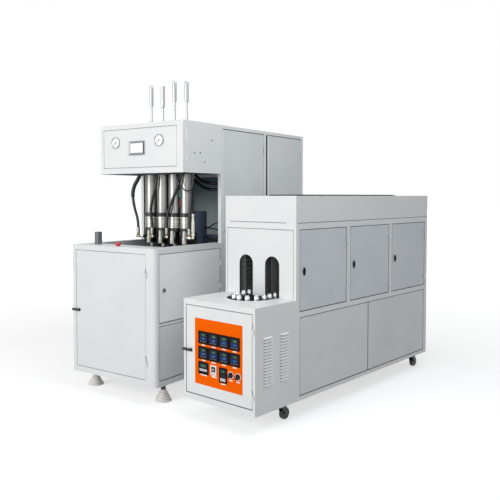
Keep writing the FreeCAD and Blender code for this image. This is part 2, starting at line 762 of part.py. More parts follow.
def set_rear_hoses():
    """Two air hoses and three cables that end at the rear cabinet's partition."""
    end = partition_front
    hoses.append(("rear_high", rear_hose_radius, [
        (-345, 760, 1655), (-315, 760, 1580), (-262, 760, 1532), (-205, 760, 1505)]
        + bend_back(-42, 760, 1495, 120)
        + [(-44, 932, 1497), (-41, 1062, 1500), (-44, 1174, 1501), (-44, end, 1501)]))
    hoses.append(("rear_low", rear_hose_radius, [
        (-430, 775, 1650), (-385, 775, 1575), (-310, 775, 1508), (-240, 775, 1470),
        (-194, 775, 1454)]
        + bend_back(-54, 775, 1447, 120)
        + [(-57, 944, 1448), (-54, 1070, 1451), (-57, 1178, 1450), (-57, end, 1450)]))
    cables = (                           # share of the way from the column to the side, y, z
        ("cable_high", [(0, 765, 1156), (0.175, 765, 1156), (0.38, 772, 1184), (0.603, 792, 1206),
                        (0.72, 848, 1212), (0.75, 945, 1214), (0.73, 1060, 1211),
                        (0.75, 1175, 1214), (0.75, end, 1214)]),
        ("cable_middle", [(0, 783, 1153), (0.204, 783, 1153), (0.409, 791, 1146), (0.584, 818, 1128),
                          (0.681, 878, 1120), (0.715, 980, 1118), (0.70, 1085, 1121),
                          (0.72, 1188, 1118), (0.72, end, 1118)]),
        ("cable_low", [(0, 748, 1090), (0.17, 748, 1090), (0.34, 749, 1069), (0.511, 754, 1067),
                       (0.623, 764, 1092), (0.69, 786, 1124), (0.70, 832, 1143), (0.676, 918, 1146),
                       (0.696, 1048, 1143), (0.681, 1170, 1146), (0.681, end, 1146)]))
    side = row_x + column_width / 2      # the column's right side
    for name, route in cables:
        hoses.append((name, cable_radius, [(side * (1 - share), y, z) for share, y, z in route]))


def bend_radius(a, b, c):
    run_in, run_out = b - a, c - b
    turn = run_in.getAngle(run_out)
    return 0.45 * min(run_in.Length, run_out.Length) / math.tan(turn / 2), turn


def hose_path(points):
    """Straight runs joined by tangent arcs, and the arcs' radii."""
    edges, radii = [], []
    here = points[0]
    for a, b, c in zip(points, points[1:], points[2:]):
        bend, turn = bend_radius(a, b, c)
        radii.append(bend)
        back = bend * math.tan(turn / 2)
        into = (b - a).normalize()
        out = (c - b).normalize()
        start, end = b - into * back, b + out * back
        inward = (out - into).normalize()
        middle = b + inward * (bend / math.cos(turn / 2) - bend)
        edges.append(Part.LineSegment(here, start).toShape())
        edges.append(Part.Arc(start, middle, end).toShape())
        here = end
    edges.append(Part.LineSegment(here, points[-1]).toShape())
    return Part.Wire(edges), radii


def hose_tube(radius, points):
    points = [V(*p) for p in points]
    circle = Part.Wire([Part.makeCircle(radius, points[0], points[1] - points[0])])
    return hose_path(points)[0].makePipeShell([circle], True, False)


def air_hoses():
    tubes = []
    for name, radius, points in hoses:
        tube = hose_tube(radius, points)
        path, radii = hose_path([V(*p) for p in points])
        ratio = tube.Volume / (math.pi * radius ** 2 * path.Length)
        print("hose", name, "radii", [round(r) for r in radii], "volume ratio", round(ratio, 4))
        tubes.append(tube)
    return Part.makeCompound(tubes)


def silencer(x, y):
    """Bottle-shaped silencer standing on its side port."""
    neck = silencer_bottom + 0.55 * (silencer_top - silencer_bottom)
    body = turned([(0, silencer_bottom), (silencer_radius, silencer_bottom), (silencer_radius, neck - 12),
                   (hose_radius, neck), (hose_radius, silencer_top), (0, silencer_top)], x, y)
    stub = rod((x, y, silencer_bottom + 18), Y_AXIS, nozzle_block_front - y, 7.0)
    return body.fuse(stub)


def coupling(x, y):
    return rod((x, y, port_bottom + 5), Z_AXIS, port_top - port_bottom - 5 + coupling_length,
               hose_radius + coupling_wall)


def air_fittings():
    """Silencers on the blocks' fronts, and the ports and couplings where the hoses end."""
    xs = station_xs()
    y = nozzle_block_front - fitting_front
    half = nozzle_block_width / 2
    ends = {name: points[-1][0] for name, radius, points in hoses}
    bottles = [silencer(x + silencer_offset, y) for x in xs]
    left_port = box(ends["left"] - 16, xs[0] - half + 18, y - 9, nozzle_block_front,
                    port_bottom, port_top)
    middle_ports = []
    for name in ("second", "third"):
        port = box(ends[name] - 16, ends[name] + 16, y - 9, nozzle_block_front, port_bottom, port_top)
        middle_ports.append(fuse([port, coupling(ends[name], y)]))
    right_port = box(xs[3] + silencer_offset, ends["right"] + 16, y - 9, y + 9,
                     port_bottom, port_top)
    solids = bottles[:3]
    solids.append(fuse([left_port, coupling(ends["left"], y)]))
    solids += middle_ports
    solids.append(fuse([bottles[3], right_port, coupling(ends["right"], y)]))
    return Part.makeCompound(solids)


# ---------------------------------------------------------------- clamp

def platen_face_front():
    return row_y - daylight / 2


def platen_face_back():
    return row_y + daylight / 2


def tie_bar_places():
    half = tie_bar_span_x / 2
    return [(row_x + sx * half, z) for sx in (-1, 1) for z in (tie_bar_low, tie_bar_high)]


def clamp_centre_z():
    return (tie_bar_low + tie_bar_high) / 2


def clamp_frame():
    """End plates on the rails, four tie bars through them, and the two clamp cylinders."""
    x0, x1 = -press_width + end_plate_inset, -end_plate_inset
    back_end = end_plate_back + end_plate_thickness
    solids = [
        box(x0, x1, end_plate_front, end_plate_front + end_plate_thickness, rail_top, end_plate_top),
        box(x0, x1, end_plate_back, back_end, rail_top, end_plate_top)]
    for x, z in tie_bar_places():
        solids.append(rod((x, end_plate_front - 12, z), Y_AXIS,
                          back_end - end_plate_front + 24, tie_bar_radius))
    z = clamp_centre_z()
    front_face = end_plate_front + end_plate_thickness
    solids.append(rod((row_x, front_face, z), Y_AXIS, clamp_cylinder_length, clamp_cylinder_radius))
    solids.append(rod((row_x, end_plate_back, z), -Y_AXIS, clamp_cylinder_length,
                      clamp_cylinder_radius))
    bore = clamp_rod_radius + running_gap
    bores = [rod((row_x, front_face + 8, z), Y_AXIS, clamp_cylinder_length, bore),
             rod((row_x, end_plate_back - 8, z), -Y_AXIS, clamp_cylinder_length, bore)]
    return cut(fuse(solids), bores)


def platen(face_y, outward):
    """Mould platen on the tie bars. outward is +1 where its back looks to +Y."""
    x0, x1 = row_x - platen_width / 2, row_x + platen_width / 2
    back_y = face_y + outward * platen_thickness
    y0, y1 = sorted((face_y, back_y))
    plate = box(x0, x1, y0, y1, platen_bottom, platen_top)
    z = clamp_centre_z()
    direction = Y_AXIS * outward
    end = end_plate_back if outward > 0 else end_plate_front + end_plate_thickness
    reach = abs(end - back_y) - 20
    plunger = rod((row_x, back_y, z), direction, reach, clamp_rod_radius)
    bores = [rod((x, y0 - 1, bz), Y_AXIS, platen_thickness + 2, tie_bar_radius + running_gap)
             for x, bz in tie_bar_places()]
    for sx in (-1, 1):
        for sz in (-1, 1):
            bores.append(rod((row_x + sx * mould_hole_span_x / 2, face_y - outward,
                              z + sz * mould_hole_span_z / 2), direction, mould_hole_depth + 1,
                             mould_hole_radius))
    return cut(fuse([plate, plunger]), bores)


# ---------------------------------------------------------------- oven

def oven_doors():
    doors = []
    for i in range(oven_door_count):
        near = oven_door_first + i * oven_door_pitch
        doors.append((near, near + oven_door_width, oven_door_bottom, oven_door_top))
    return doors


def oven_covers():
    edges = oven_cover_edges
    return [(edges[i], edges[i + 1] - 2 * seam, oven_cover_bottom, oven_cover_top) for i in range(2)]


def caster_places():
    return [(x, y) for y in caster_rows for x in (-caster_inset, caster_inset - oven_width)]


def chain_radius():
    return chain_pitch / (2 * math.sin(math.pi / sprocket_teeth))


def carrier_back():
    return carrier_front + straight_pitches * chain_pitch


def oven_casing():
    """Tunnel housing: doors on its right side, slotted panel in front, plates for the casters."""
    front = control_depth
    shell = cut(box(-oven_width, 0, front, oven_length, oven_bottom, oven_top),
                [box(-oven_width + sheet, -sheet, front + sheet, oven_length - sheet,
                     oven_bottom + sheet, oven_top - sheet)])
    x0, x1, z0, z1 = slot_panel
    passage = box(x0 - seam, x1 + seam, front - 1, front + sheet + 1, bed_top - bed_thickness,
                  z1 + seam)
    holes = [passage]
    extras = []
    for door in oven_doors():
        holes.append(to_side(door_hole(door), hinge_line(door)))
        extras.append(to_side(door_rebate(door), hinge_line(door)))
        extras += [to_side(hinge_fixed(z), hinge_line(door)) for z in hinge_heights(door)]
    for cover in oven_covers():
        holes.append(to_side(door_hole(cover), hinge_line(cover)))
        extras.append(to_side(door_rebate(cover), hinge_line(cover)))
    ledge = box(x0 - 20, x1 + 20, front + sheet, front + sheet + 3, z1 - 15, z1 + 20)
    extras.append(ledge)
    y = oven_length
    extras.append(rod((oven_gland[0], y - sheet, oven_gland[1]), Y_AXIS, inlet_length, gland_radius))
    for x, y in caster_places():
        if y > front:
            extras += caster_plate(x, y)
    bore = rod((oven_gland[0], oven_length - 10, oven_gland[1]), Y_AXIS, inlet_length + 20,
               gland_bore_radius)
    return cut(fuse([cut(shell, holes)] + extras), [bore] + hood_grooves())


def hood_grooves():
    """The joint under the hood, along the front and both sides."""
    z0, z1 = hood_joint - hood_groove_width / 2, hood_joint + hood_groove_width / 2
    deep = hood_groove_depth
    x0, x1, _, _ = slot_panel
    y0, y1 = control_depth + 20, oven_length + 1
    return [box(x0 + 20, x1 - 53, control_depth - 1, control_depth + deep, z0, z1),
            box(-deep, 1, y0, y1, z0, z1),
            box(-oven_width - 1, -oven_width + deep, y0, y1, z0, z1)]


def caster_plate(x, y):
    """Top plate and king pin of a caster, fixed under the floor."""
    plate = box(x - 45, x + 45, y - 45, y + 45, oven_bottom - 6, oven_bottom)
    pin = rod((x, y, oven_bottom - 32), Z_AXIS, 27, king_pin_radius)
    return [plate, pin]


def caster_fork(x, y):
    """Swivelling fork with the wheel's axle."""
    top = oven_bottom - 6 - side_gap
    crown = rod((x, y, top - 26), Z_AXIS, 26, 28.0)
    half = wheel_width / 2 + 3
    wheel_y = y + caster_trail
    legs = []
    for side in (-1, 1):
        x0, x1 = sorted((x + side * half, x + side * (half + 4)))
        outline = [(x0, y - 22, top - 26), (x0, y + 24, top - 26), (x0, wheel_y + 11, wheel_radius - 6),
                   (x0, wheel_y - 11, wheel_radius - 6)]
        legs.append(prism(outline, 4, X_AXIS))
    axle = rod((x - half - 2, wheel_y, wheel_radius), X_AXIS, 2 * half + 4, axle_radius)
    bore = rod((x, y, top - 30), Z_AXIS, 40, king_pin_radius + running_gap)
    return cut(fuse([crown] + legs + [axle]), [bore])


def caster_wheel(x, y):
    """Solid wheel with a bevelled tread."""
    w = wheel_width / 2
    r = wheel_radius
    bore = axle_radius + running_gap
    half = [(bore, w), (r - 3, w), (r, w - 4)]
    outline = half + [(a, -b) for a, b in half[::-1]]
    wire = Part.makePolygon([V(x + b, y + caster_trail, wheel_radius + a)
                             for a, b in outline + outline[:1]])
    return Part.Face(wire).revolve(V(x, y + caster_trail, wheel_radius), X_AXIS, 360)


def carrier_opening(z0, z1):
    """The round-ended opening in the control cabinet's top, round the carrier."""
    r = carrier_opening_radius
    left, right = carrier_x - r, carrier_x + r
    edges = [
        Part.LineSegment(V(left, control_depth + 1, z0), V(left, carrier_front, z0)).toShape(),
        Part.Arc(V(left, carrier_front, z0), V(carrier_x, carrier_front - r, z0),
                 V(right, carrier_front, z0)).toShape(),
        Part.LineSegment(V(right, carrier_front, z0), V(right, control_depth + 1, z0)).toShape(),
        Part.LineSegment(V(right, control_depth + 1, z0), V(left, control_depth + 1, z0)).toShape(),
    ]
    return Part.Face(Part.Wire(edges)).extrude(V(0, 0, z1 - z0))


def louvres():
    """Pressed hoods on the control cabinet's right side, and the slits under them."""
    hoods, slits = [], []
    pitch = (louvre_top - louvre_bottom) / louvre_rows
    for y0, y1 in louvre_columns:
        for i in range(louvre_rows):
            z = louvre_bottom + i * pitch
            hood = prism([(-1, y0, z + 2), (louvre_lift, y0, z + 2), (-1, y0, z + pitch * 0.8)],
                         y1 - y0, Y_AXIS)
            hoods.append(hood)
            slits.append(prism([(-sheet - 1, y0 + 1, z + 1), (louvre_lift - 1.2, y0 + 1, z + 1),
                                (-sheet - 1, y0 + 1, z + pitch * 0.62)], y1 - y0 - 2, Y_AXIS))
    return hoods, slits


def control_cabinet():
    """Low cabinet in front of the oven: door, louvred side and the carrier's opening."""
    shell = cut(box(-oven_width, 0, 0, control_depth, oven_bottom, control_top),
                [box(-oven_width + sheet, -sheet, sheet, control_depth - sheet,
                     oven_bottom + sheet, control_top - sheet)])
    x0, x1 = slot_panel[0] - seam, slot_panel[1] + seam
    passage = box(x0, x1, control_depth - sheet - 1, control_depth + 1,
                  bed_top - bed_thickness, control_top - sheet)
    door_gap = to_front(door_hole(control_door), hinge_line(control_door))
    shell = cut(shell, [passage, door_gap, carrier_opening(control_top - 10, control_top + 1)])
    hoods, slits = louvres()
    extras = [to_front(door_rebate(control_door), hinge_line(control_door))]
    extras += [to_front(hinge_fixed(z), hinge_line(control_door))
               for z in hinge_heights(control_door)]
    for x, y in caster_places():
        if y < control_depth:
            extras += caster_plate(x, y)
    shell = fuse([shell] + extras + hoods)
    return cut(shell, slits)


def slot_front_panel():
    """Front of the tunnel, with two round-topped slots for the preforms."""
    x0, x1, z0, z1 = slot_panel
    y = control_depth
    panel = box(x0, x1, y, y + pan_sheet, z0 - 2.7, z1)
    tools = []
    r = slot_width / 2
    for side in (-1, 1):
        x = carrier_x + side * chain_radius()
        arch = slot_top - r
        tools.append(box(x - r, x + r, y - 1, y + 5, z0 - 5, arch))
        tools.append(rod((x, y - 1, arch), Y_AXIS, 6, r))
    return cut(panel, tools)


def lower_covers():
    """The fixed pan covers low on both right sides, each in its opening."""
    covers = [to_side(cover_pan(base_side_cover), hinge_line(base_side_cover))]
    for cover in oven_covers():
        covers.append(set_oven(to_side(cover_pan(cover), hinge_line(cover))))
    return covers


def carrier_bed():
    """Steel bed through the oven with the sprockets' bearings, and the geared drive under it."""
    low = bed_top - bed_thickness
    front = box(-oven_width + sheet, -sheet, rebate_depth + 8, control_depth - sheet, low, bed_top)
    back = box(-oven_width + sheet, -sheet, control_depth + sheet, oven_length - sheet, low, bed_top)
    neck = box(slot_panel[0] - seam, slot_panel[1] + seam, control_depth - sheet - 1,
               control_depth + sheet + 1, low, bed_top)
    solids = [front, back, neck]
    bores = []
    under = low - bearing_height
    for y in (carrier_front, carrier_back()):
        solids.append(rod((carrier_x, y, under), Z_AXIS, bearing_height + bed_thickness + 10,
                          bearing_radius))
        bores.append(rod((carrier_x, y, low - 200), Z_AXIS, 300, shaft_radius + running_gap))
    bed = cut(fuse(solids), bores)
    y = carrier_back()
    half = gearbox_size / 2
    gearbox = box(carrier_x - half, carrier_x + half, y - half, y + half,
                  under - gearbox_height, under)
    gearbox = cut(gearbox, [rod((carrier_x, y, low - 200), Z_AXIS, 300, shaft_radius + running_gap)])
    motor = rod((carrier_x, y - half, under - gearbox_height / 2 - 11), -Y_AXIS, motor_length,
                motor_radius)
    return fuse([bed, gearbox, motor])


def sprocket(y, shaft_bottom):
    """Toothed disc with its hub and shaft. The pockets hold the chain's rollers."""
    z0 = chain_height - 4
    disc = rod((carrier_x, y, z0), Z_AXIS, 8, chain_radius() - 1.0)
    pockets = []
    for i in range(sprocket_teeth):
        angle = 2 * math.pi * i / sprocket_teeth
        x = carrier_x + chain_radius() * math.sin(angle)
        py = y - chain_radius() * math.cos(angle)
        pockets.append(rod((x, py, z0 - 1), Z_AXIS, 10, roller_radius + side_gap))
    hub = rod((carrier_x, y, bed_top + 10 + side_gap), Z_AXIS, 50, 24.0)
    shaft = rod((carrier_x, y, shaft_bottom), Z_AXIS, bed_top + 50 - shaft_bottom, shaft_radius)
    return fuse([cut(disc, pockets), hub, shaft])


def carrier_places():
    """Every pin of the chain: down the right run, round the back and up the left."""
    places = []
    r = chain_radius()
    for i in range(straight_pitches):
        places.append((carrier_x + r, carrier_front + i * chain_pitch))
        places.append((carrier_x - r, carrier_front + (i + 1) * chain_pitch))
    half = sprocket_teeth // 2
    for i in range(half):
        angle = math.pi * i / half
        places.append((carrier_x - r * math.cos(angle), carrier_front - r * math.sin(angle)))
        places.append((carrier_x + r * math.cos(angle), carrier_back() + r * math.sin(angle)))
    return places


def chain_loop(offset):
    """Outline of the chain's links, offset from its pitch line."""
    r = chain_radius() + offset
    half = sprocket_teeth // 2
    points = []
    for i in range(half + 1):
        angle = math.pi * i / half
        points.append((carrier_x - r * math.cos(angle), carrier_front - r * math.sin(angle)))
    for i in range(half + 1):
        angle = math.pi * i / half
        points.append((carrier_x + r * math.cos(angle), carrier_back() + r * math.sin(angle)))
    return points


def carrier_chain():
    """The endless chain: link plates, rollers, and a spindle with its preform holder on each pin."""
    z0 = chain_height + roller_height / 2
    band = prism([(x, y, z0) for x, y in chain_loop(link_width / 2)], link_thickness)
    inner = prism([(x, y, z0 - 1) for x, y in chain_loop(-link_width / 2)], link_thickness + 2)
    solids = [cut(band, [inner])]
    for x, y in carrier_places():
        solids.append(holder(x, y, y < control_depth + chain_pitch))
    return fuse(solids)


def holder(x, y, in_sight):
    """Spindle with its mushroom cap. Those deep in the tunnel have flats in place of rounds."""
    low = chain_height - roller_height / 2
    if in_sight:
        profile = [(0, low), (roller_radius, low), (roller_radius, holder_cap_bottom),
                   (holder_cap_radius, holder_cap_bottom), (holder_cap_radius, holder_cap_top - 5),
                   (holder_cap_radius - 5, holder_cap_top), (0, holder_cap_top)]
        return turned(profile, x, y)
    cap = eight_sided(x, y, holder_cap_radius, holder_cap_bottom, holder_cap_top)
    post = eight_sided(x, y, roller_radius, low, holder_cap_bottom)
    return cap.fuse(post)


def eight_sided(x, y, radius, z0, z1):
    turn = [2 * math.pi * (i + 0.5) / 8 for i in range(8)]
    return prism([(x + radius * math.cos(a), y + radius * math.sin(a), z0) for a in turn], z1 - z0)


def lane_x(side):
    return carrier_x + side * chain_radius()


def lamp_reflectors():
    """Polished plates each side of both lanes; the outer ones are folded round the lamps' ends."""
    solids = []
    for side in (-1, 1):
        outer = lane_x(side) + side * (lamp_offset + reflector_gap)
        x0, x1 = sorted((outer, outer + side * pan_sheet))
        solids.append(box(x0, x1, heater_front - pan_sheet, heater_back + pan_sheet,
                          bed_top, reflector_top))
        x0, x1 = sorted((outer, lane_x(side) + side * (lamp_offset - 12)))
        for y0 in (heater_front - pan_sheet, heater_back):
            solids.append(box(x0, x1, y0, y0 + pan_sheet, bed_top + 100, reflector_top))
        inner = carrier_x + side * inner_reflector_offset
        x0, x1 = sorted((inner, inner - side * pan_sheet))
        solids.append(box(x0, x1, heater_front + 15, heater_back - 30, bed_top, reflector_top))
    left = fuse(solids[0:3])
    right = fuse(solids[4:7])
    return Part.makeCompound([left, solids[3], right, solids[7]])


def heating_lamps():
    """Quartz lamps in rows along both lanes."""
    solids = []
    for side in (-1, 1):
        x = lane_x(side) + side * lamp_offset
        for i in range(lamp_rows):
            z = lamp_first + i * lamp_pitch
            solids.append(rod((x, heater_front, z), Y_AXIS, heater_back - heater_front, lamp_radius))
    return Part.makeCompound(solids)


# ---------------------------------------------------------------- control door

def instrument_windows():
    """Outlines of the square instruments: left, right, bottom, top."""
    places = []
    for z in controller_rows:
        for i in range(4):
            x = controller_left + i * controller_pitch_x
            places.append((x, x + controller_size, z, z + controller_size - 2))
    return places + list(lower_row.values())


def control_cabinet_door():
    body = to_front(hinged_door(control_door, control_latch_place), hinge_line(control_door))
    tools = [box(x0 + bezel, x1 - bezel, -1, pan_sheet + 1, z0 + bezel, z1 - bezel)
             for x0, x1, z0, z1 in instrument_windows()]
    for x in knob_places:
        tools.append(rod((x, -1, knob_height), Y_AXIS, pan_sheet + 2, 4.0 + side_gap))
    return cut(body, tools)


def panel_instruments():
    """Temperature controllers, timer, breaker and counter, each with a bezel on the door."""
    solids = []
    for x0, x1, z0, z1 in instrument_windows():
        front = box(x0, x1, -7, 0, z0, z1)
        face = box(x0 + 7, x1 - 7, -8, -4.5, z0 + 7, z1 - 7)
        case = box(x0 + bezel + side_gap, x1 - bezel - side_gap, -3, instrument_depth,
                   z0 + bezel + side_gap, z1 - bezel - side_gap)
        solids.append(fuse([cut(front, [face]), case]))
    return Part.makeCompound(solids)


def selector_knob(x):
    """Knob with a pointer grip, on its spindle through the door."""
    z = knob_height
    skirt = rod((x, -side_gap, z), -Y_AXIS, 4, knob_radius + 4)
    body = rod((x, -side_gap - 3, z), -Y_AXIS, 14, knob_radius)
    grip = box(x - 3.5, x + 3.5, -24, -16, z - knob_radius + 1, z + knob_radius - 1)
    spindle = rod((x, -2, z), Y_AXIS, 22, 4.0)
    return fuse([skirt, body, grip, spindle])


# ---------------------------------------------------------------- placing and writing

def set_oven(shape):
    shape = shape.copy()
    shape.rotate(V(0, 0, 0), Z_AXIS, oven_turn)
    shape.translate(V(oven_corner[0], oven_corner[1], 0))
    return shape


def to_row(shape):
    shape = shape.copy()
    shape.translate(V(foot_inset_x, -foot_inset_y, 0))
    return shape


def press_nodes():
    side_hinge = hinge_line(base_side_door)
    nodes = {
        "base_cabinet": press_base(),
        "base_front_door": to_front(hinged_door(base_door, base_latch_place), hinge_line(base_door)),
        "base_front_latch": to_front(latch(base_door, base_latch_place, bar_handle(base_lever)),
                                     hinge_line(base_door)),
        "base_side_door": to_side(hinged_door(base_side_door, side_lock_place), side_hinge),
        "base_side_latch": to_side(latch(base_side_door, side_lock_place, key_lock()), side_hinge),
        "table_top": table_top(),
        "table_post": table_post(),
        "stop_button": stop_button(),
        "levelling_feet": levelling_feet(),
        "head_casing": head_casing(),
        "head_front_panel": head_front_panel(),
        "pressure_gauges": pressure_gauges(),
        "gauge_needle_left": gauge_needle(gauge_places[0]),
        "gauge_needle_right": gauge_needle(gauge_places[1]),
        "touch_screen": touch_screen(),
        "rear_cabinet": rear_cabinet(),
        "rear_door_front": to_side(hinged_door(tower_door_front, None, tower_fold_radius),
                                   hinge_line(tower_door_front)),
        "rear_door_back": to_side(hinged_door(tower_door_back, None, tower_fold_radius),
                                  hinge_line(tower_door_back)),
        "station_bracket": station_bracket(),
        "seal_cylinders": seal_cylinders(),
        "stretch_cylinders": stretch_cylinders(),
        "blow_nozzles": blow_nozzles(),
        "air_hoses": air_hoses(),
        "air_fittings": air_fittings(),
        "clamp_frame": clamp_frame(),
        "front_platen": platen(platen_face_front(), -1),
        "rear_platen": platen(platen_face_back(), 1),
    }
    for i in range(station_count):
        nodes["stretch_rod_%d" % (i + 1)] = stretch_rod(i)
    return nodes


def oven_nodes():
    hinge = hinge_line(control_door)
    nodes = {
        "oven_casing": oven_casing(),
        "control_cabinet": control_cabinet(),
        "control_door": control_cabinet_door(),
        "control_latch": to_front(latch(control_door, control_latch_place, bar_handle(control_lever)),
                                  hinge),
        "panel_instruments": panel_instruments(),
        "selector_knob_left": selector_knob(knob_places[0]),
        "selector_knob_right": selector_knob(knob_places[1]),
        "slot_front_panel": slot_front_panel(),
        "carrier_bed": carrier_bed(),
        "carrier_chain": carrier_chain(),
        "front_sprocket": sprocket(carrier_front, bed_top - 40),
        "rear_sprocket": sprocket(carrier_back(), bed_top - 120),
        "lamp_reflectors": lamp_reflectors(),
        "heating_lamps": heating_lamps(),
    }
    for i, door in enumerate(oven_doors()):
        nodes["oven_door_%d" % (i + 1)] = to_side(hinged_door(door, oven_latch_place), hinge_line(door))
        nodes["oven_latch_%d" % (i + 1)] = to_side(latch(door, oven_latch_place, lens_handle()),
                                                   hinge_line(door))
    for i, (x, y) in enumerate(caster_places()):
        nodes["caster_fork_%d" % (i + 1)] = caster_fork(x, y)
        nodes["caster_wheel_%d" % (i + 1)] = caster_wheel(x, y)
    return nodes


def main():
    set_hoses()
    os.makedirs("parts", exist_ok=True)
    nodes = press_nodes()
    nodes["lower_side_covers"] = Part.makeCompound(lower_covers())
    for name, shape in oven_nodes().items():
        nodes[name] = set_oven(shape)
    for name, shape in nodes.items():
        to_row(shape).exportStep("parts/%s.step" % name)
    print("nodes", len(nodes))


main()
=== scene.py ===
"""A two-station set for PET bottles: a four-cavity stretch blowing press, and the infrared preform oven
that stands beside it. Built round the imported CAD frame, in metres, standing on the floor at z = 0."""

import math

import bmesh
import bpy
from mathutils import Matrix, Vector


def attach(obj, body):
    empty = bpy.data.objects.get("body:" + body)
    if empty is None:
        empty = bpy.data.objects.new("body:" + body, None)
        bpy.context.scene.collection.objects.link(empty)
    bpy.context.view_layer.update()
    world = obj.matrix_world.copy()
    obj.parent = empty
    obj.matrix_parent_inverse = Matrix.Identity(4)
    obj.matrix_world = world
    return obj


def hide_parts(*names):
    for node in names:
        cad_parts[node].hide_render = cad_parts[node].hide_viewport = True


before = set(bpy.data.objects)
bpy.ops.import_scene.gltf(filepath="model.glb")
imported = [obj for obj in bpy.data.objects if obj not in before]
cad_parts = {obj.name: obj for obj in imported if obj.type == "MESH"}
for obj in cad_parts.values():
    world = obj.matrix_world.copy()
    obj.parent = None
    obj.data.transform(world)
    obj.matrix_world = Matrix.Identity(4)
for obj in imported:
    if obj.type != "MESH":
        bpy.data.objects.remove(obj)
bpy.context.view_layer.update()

bpy.ops.object.select_all(action="DESELECT")


# ---- The photograph's viewpoint
# Standing eye height, off the right-hand front corner, looking along both machines' right sides.
# The optical axis meets the square picture above its middle, so the lens is shifted down.

camera_data = bpy.data.cameras.new("photograph_camera")
camera_data.lens = 46.56
camera_data.sensor_width = 36
camera_data.shift_y = -0.0546
camera_data.clip_end = 100
camera = bpy.data.objects.new("photograph_camera", camera_data)
bpy.context.scene.collection.objects.link(camera)
camera.location = (3.005, -3.236, 1.400)
camera.rotation_euler = (math.radians(90 - 2.381), 0, math.radians(35.156))
bpy.context.scene.camera = camera


# ---- Studio room, lamps and floor
# A white room. One wide lamp in front sets the sheet steel's level, lower ones fill the right-hand sides and
# the tops, and what the camera, the metal and the glass see behind the set is plain white.

def linear(hex_colour):
    """A colour written as sRGB hex, turned to the linear values that the shaders take."""
    channels = [int(hex_colour[i:i + 2], 16) / 255 for i in (1, 3, 5)]
    return tuple(c / 12.92 if c <= 0.04045 else ((c + 0.055) / 1.055) ** 2.4 for c in channels) + (1.0,)


def add_node(tree, kind, inputs=None, **settings):
    """Adds a node, sets its settings, and fills its inputs with values or with other nodes' outputs."""
    made = tree.nodes.new(kind)
    for name, value in settings.items():
        setattr(made, name, value)
    for socket, value in (inputs or {}).items():
        if isinstance(value, bpy.types.NodeSocket):
            tree.links.new(value, made.inputs[socket])
        else:
            made.inputs[socket].default_value = value
    return made


def seen_directly(tree):
    """1 for what the camera, metal and glass see, and 0 for the light that falls on the set."""
    path = add_node(tree, "ShaderNodeLightPath")
    seen = path.outputs["Is Camera Ray"]
    for kind in ("Is Glossy Ray", "Is Transmission Ray"):
        seen = add_node(tree, "ShaderNodeMath", {0: seen, 1: path.outputs[kind]},
            operation="MAXIMUM").outputs[0]
    return seen


bpy.context.scene.view_settings.view_transform = "Standard"
room_light = 0.33
world = bpy.data.worlds.new("studio_room")
bpy.context.scene.world = world
world.use_nodes = True
tree = world.node_tree
tree.nodes.clear()
level = add_node(tree, "ShaderNodeMapRange", {"Value": seen_directly(tree), "To Min": room_light,
    "To Max": 1.0})
glow = add_node(tree, "ShaderNodeBackground", {"Color": (1, 1, 1, 1), "Strength": level.outputs[0]})
add_node(tree, "ShaderNodeOutputWorld", {"Surface": glow.outputs[0]})

for name, place, aim, size, watts, colour in (
        ("front_softbox", (-1.7, -4.9, 2.2), (-0.1, 0.5, 1.1), 3.4, 190, "#FFFFFF"),
        ("aisle_softbox", (3.3, -3.1, 1.9), (-0.1, 0.5, 0.9), 1.6, 18, "#FFFFFF"),
        ("side_softbox", (2.3, -0.1, 3.7), (0.1, 0.7, 1.4), 2.0, 36, "#EFF6FF"),
        ("ceiling_softbox", (0.7, 0.5, 3.9), (0.4, 0.4, 1.0), 1.6, 24, "#FFFFFF")):
    lamp_data = bpy.data.lights.new(name, "AREA")
    lamp_data.shape = "SQUARE"
    lamp_data.size = size
    lamp_data.energy = watts
    lamp_data.color = linear(colour)[:3]
    lamp = bpy.data.objects.new(name, lamp_data)
    bpy.context.scene.collection.objects.link(lamp)
    lamp.location = place
    lamp.rotation_euler = (Vector(aim) - Vector(place)).to_track_quat("-Z", "Y").to_euler()

bpy.ops.mesh.primitive_grid_add(x_subdivisions=4, y_subdivisions=4, size=120, location=(0, 0, 0))
floor = bpy.context.object
floor.name = "studio_floor"

# Matt floor paint: it takes the set's soft shadow, and pales to plain white from 2.5 m to 8 m out.
floor_paint = bpy.data.materials.new("pale_studio_floor")
floor_paint.use_nodes = True
tree = floor_paint.node_tree
tree.nodes.clear()
where = add_node(tree, "ShaderNodeTexCoord")
far_out = add_node(tree, "ShaderNodeVectorMath", {0: where.outputs["Object"]}, operation="LENGTH")
lift = add_node(tree, "ShaderNodeMapRange", {"Value": far_out.outputs["Value"], "From Min": 2.5,
    "From Max": 8.0, "To Min": 0.60, "To Max": 1.0})
lift = add_node(tree, "ShaderNodeMath", {0: lift.outputs[0], 1: seen_directly(tree)}, operation="MULTIPLY")
white = add_node(tree, "ShaderNodeEmission", {"Color": (1, 1, 1, 1), "Strength": lift.outputs[0]})
matt = add_node(tree, "ShaderNodeBsdfDiffuse", {"Color": linear("#C8C8C8")})
both = add_node(tree, "ShaderNodeAddShader", {0: matt.outputs[0], 1: white.outputs[0]})
add_node(tree, "ShaderNodeOutputMaterial", {"Surface": both.outputs[0]})
floor.data.materials.append(floor_paint)


# ---- Sheet-steel housings
# 3 mm steel sheet, folded and welded into box housings, then powder coated in a light grey.
# They carry everything else; the seams round each door and cover are real gaps in the CAD sheets.

def finish(name):
    """A new material: itself, its node tree, its shader, and the Object coordinates its patterns use."""
    made = bpy.data.materials.new(name)
    made.use_nodes = True
    tree = made.node_tree
    where = add_node(tree, "ShaderNodeTexCoord").outputs["Object"]
    return made, tree, tree.nodes["Principled BSDF"], where


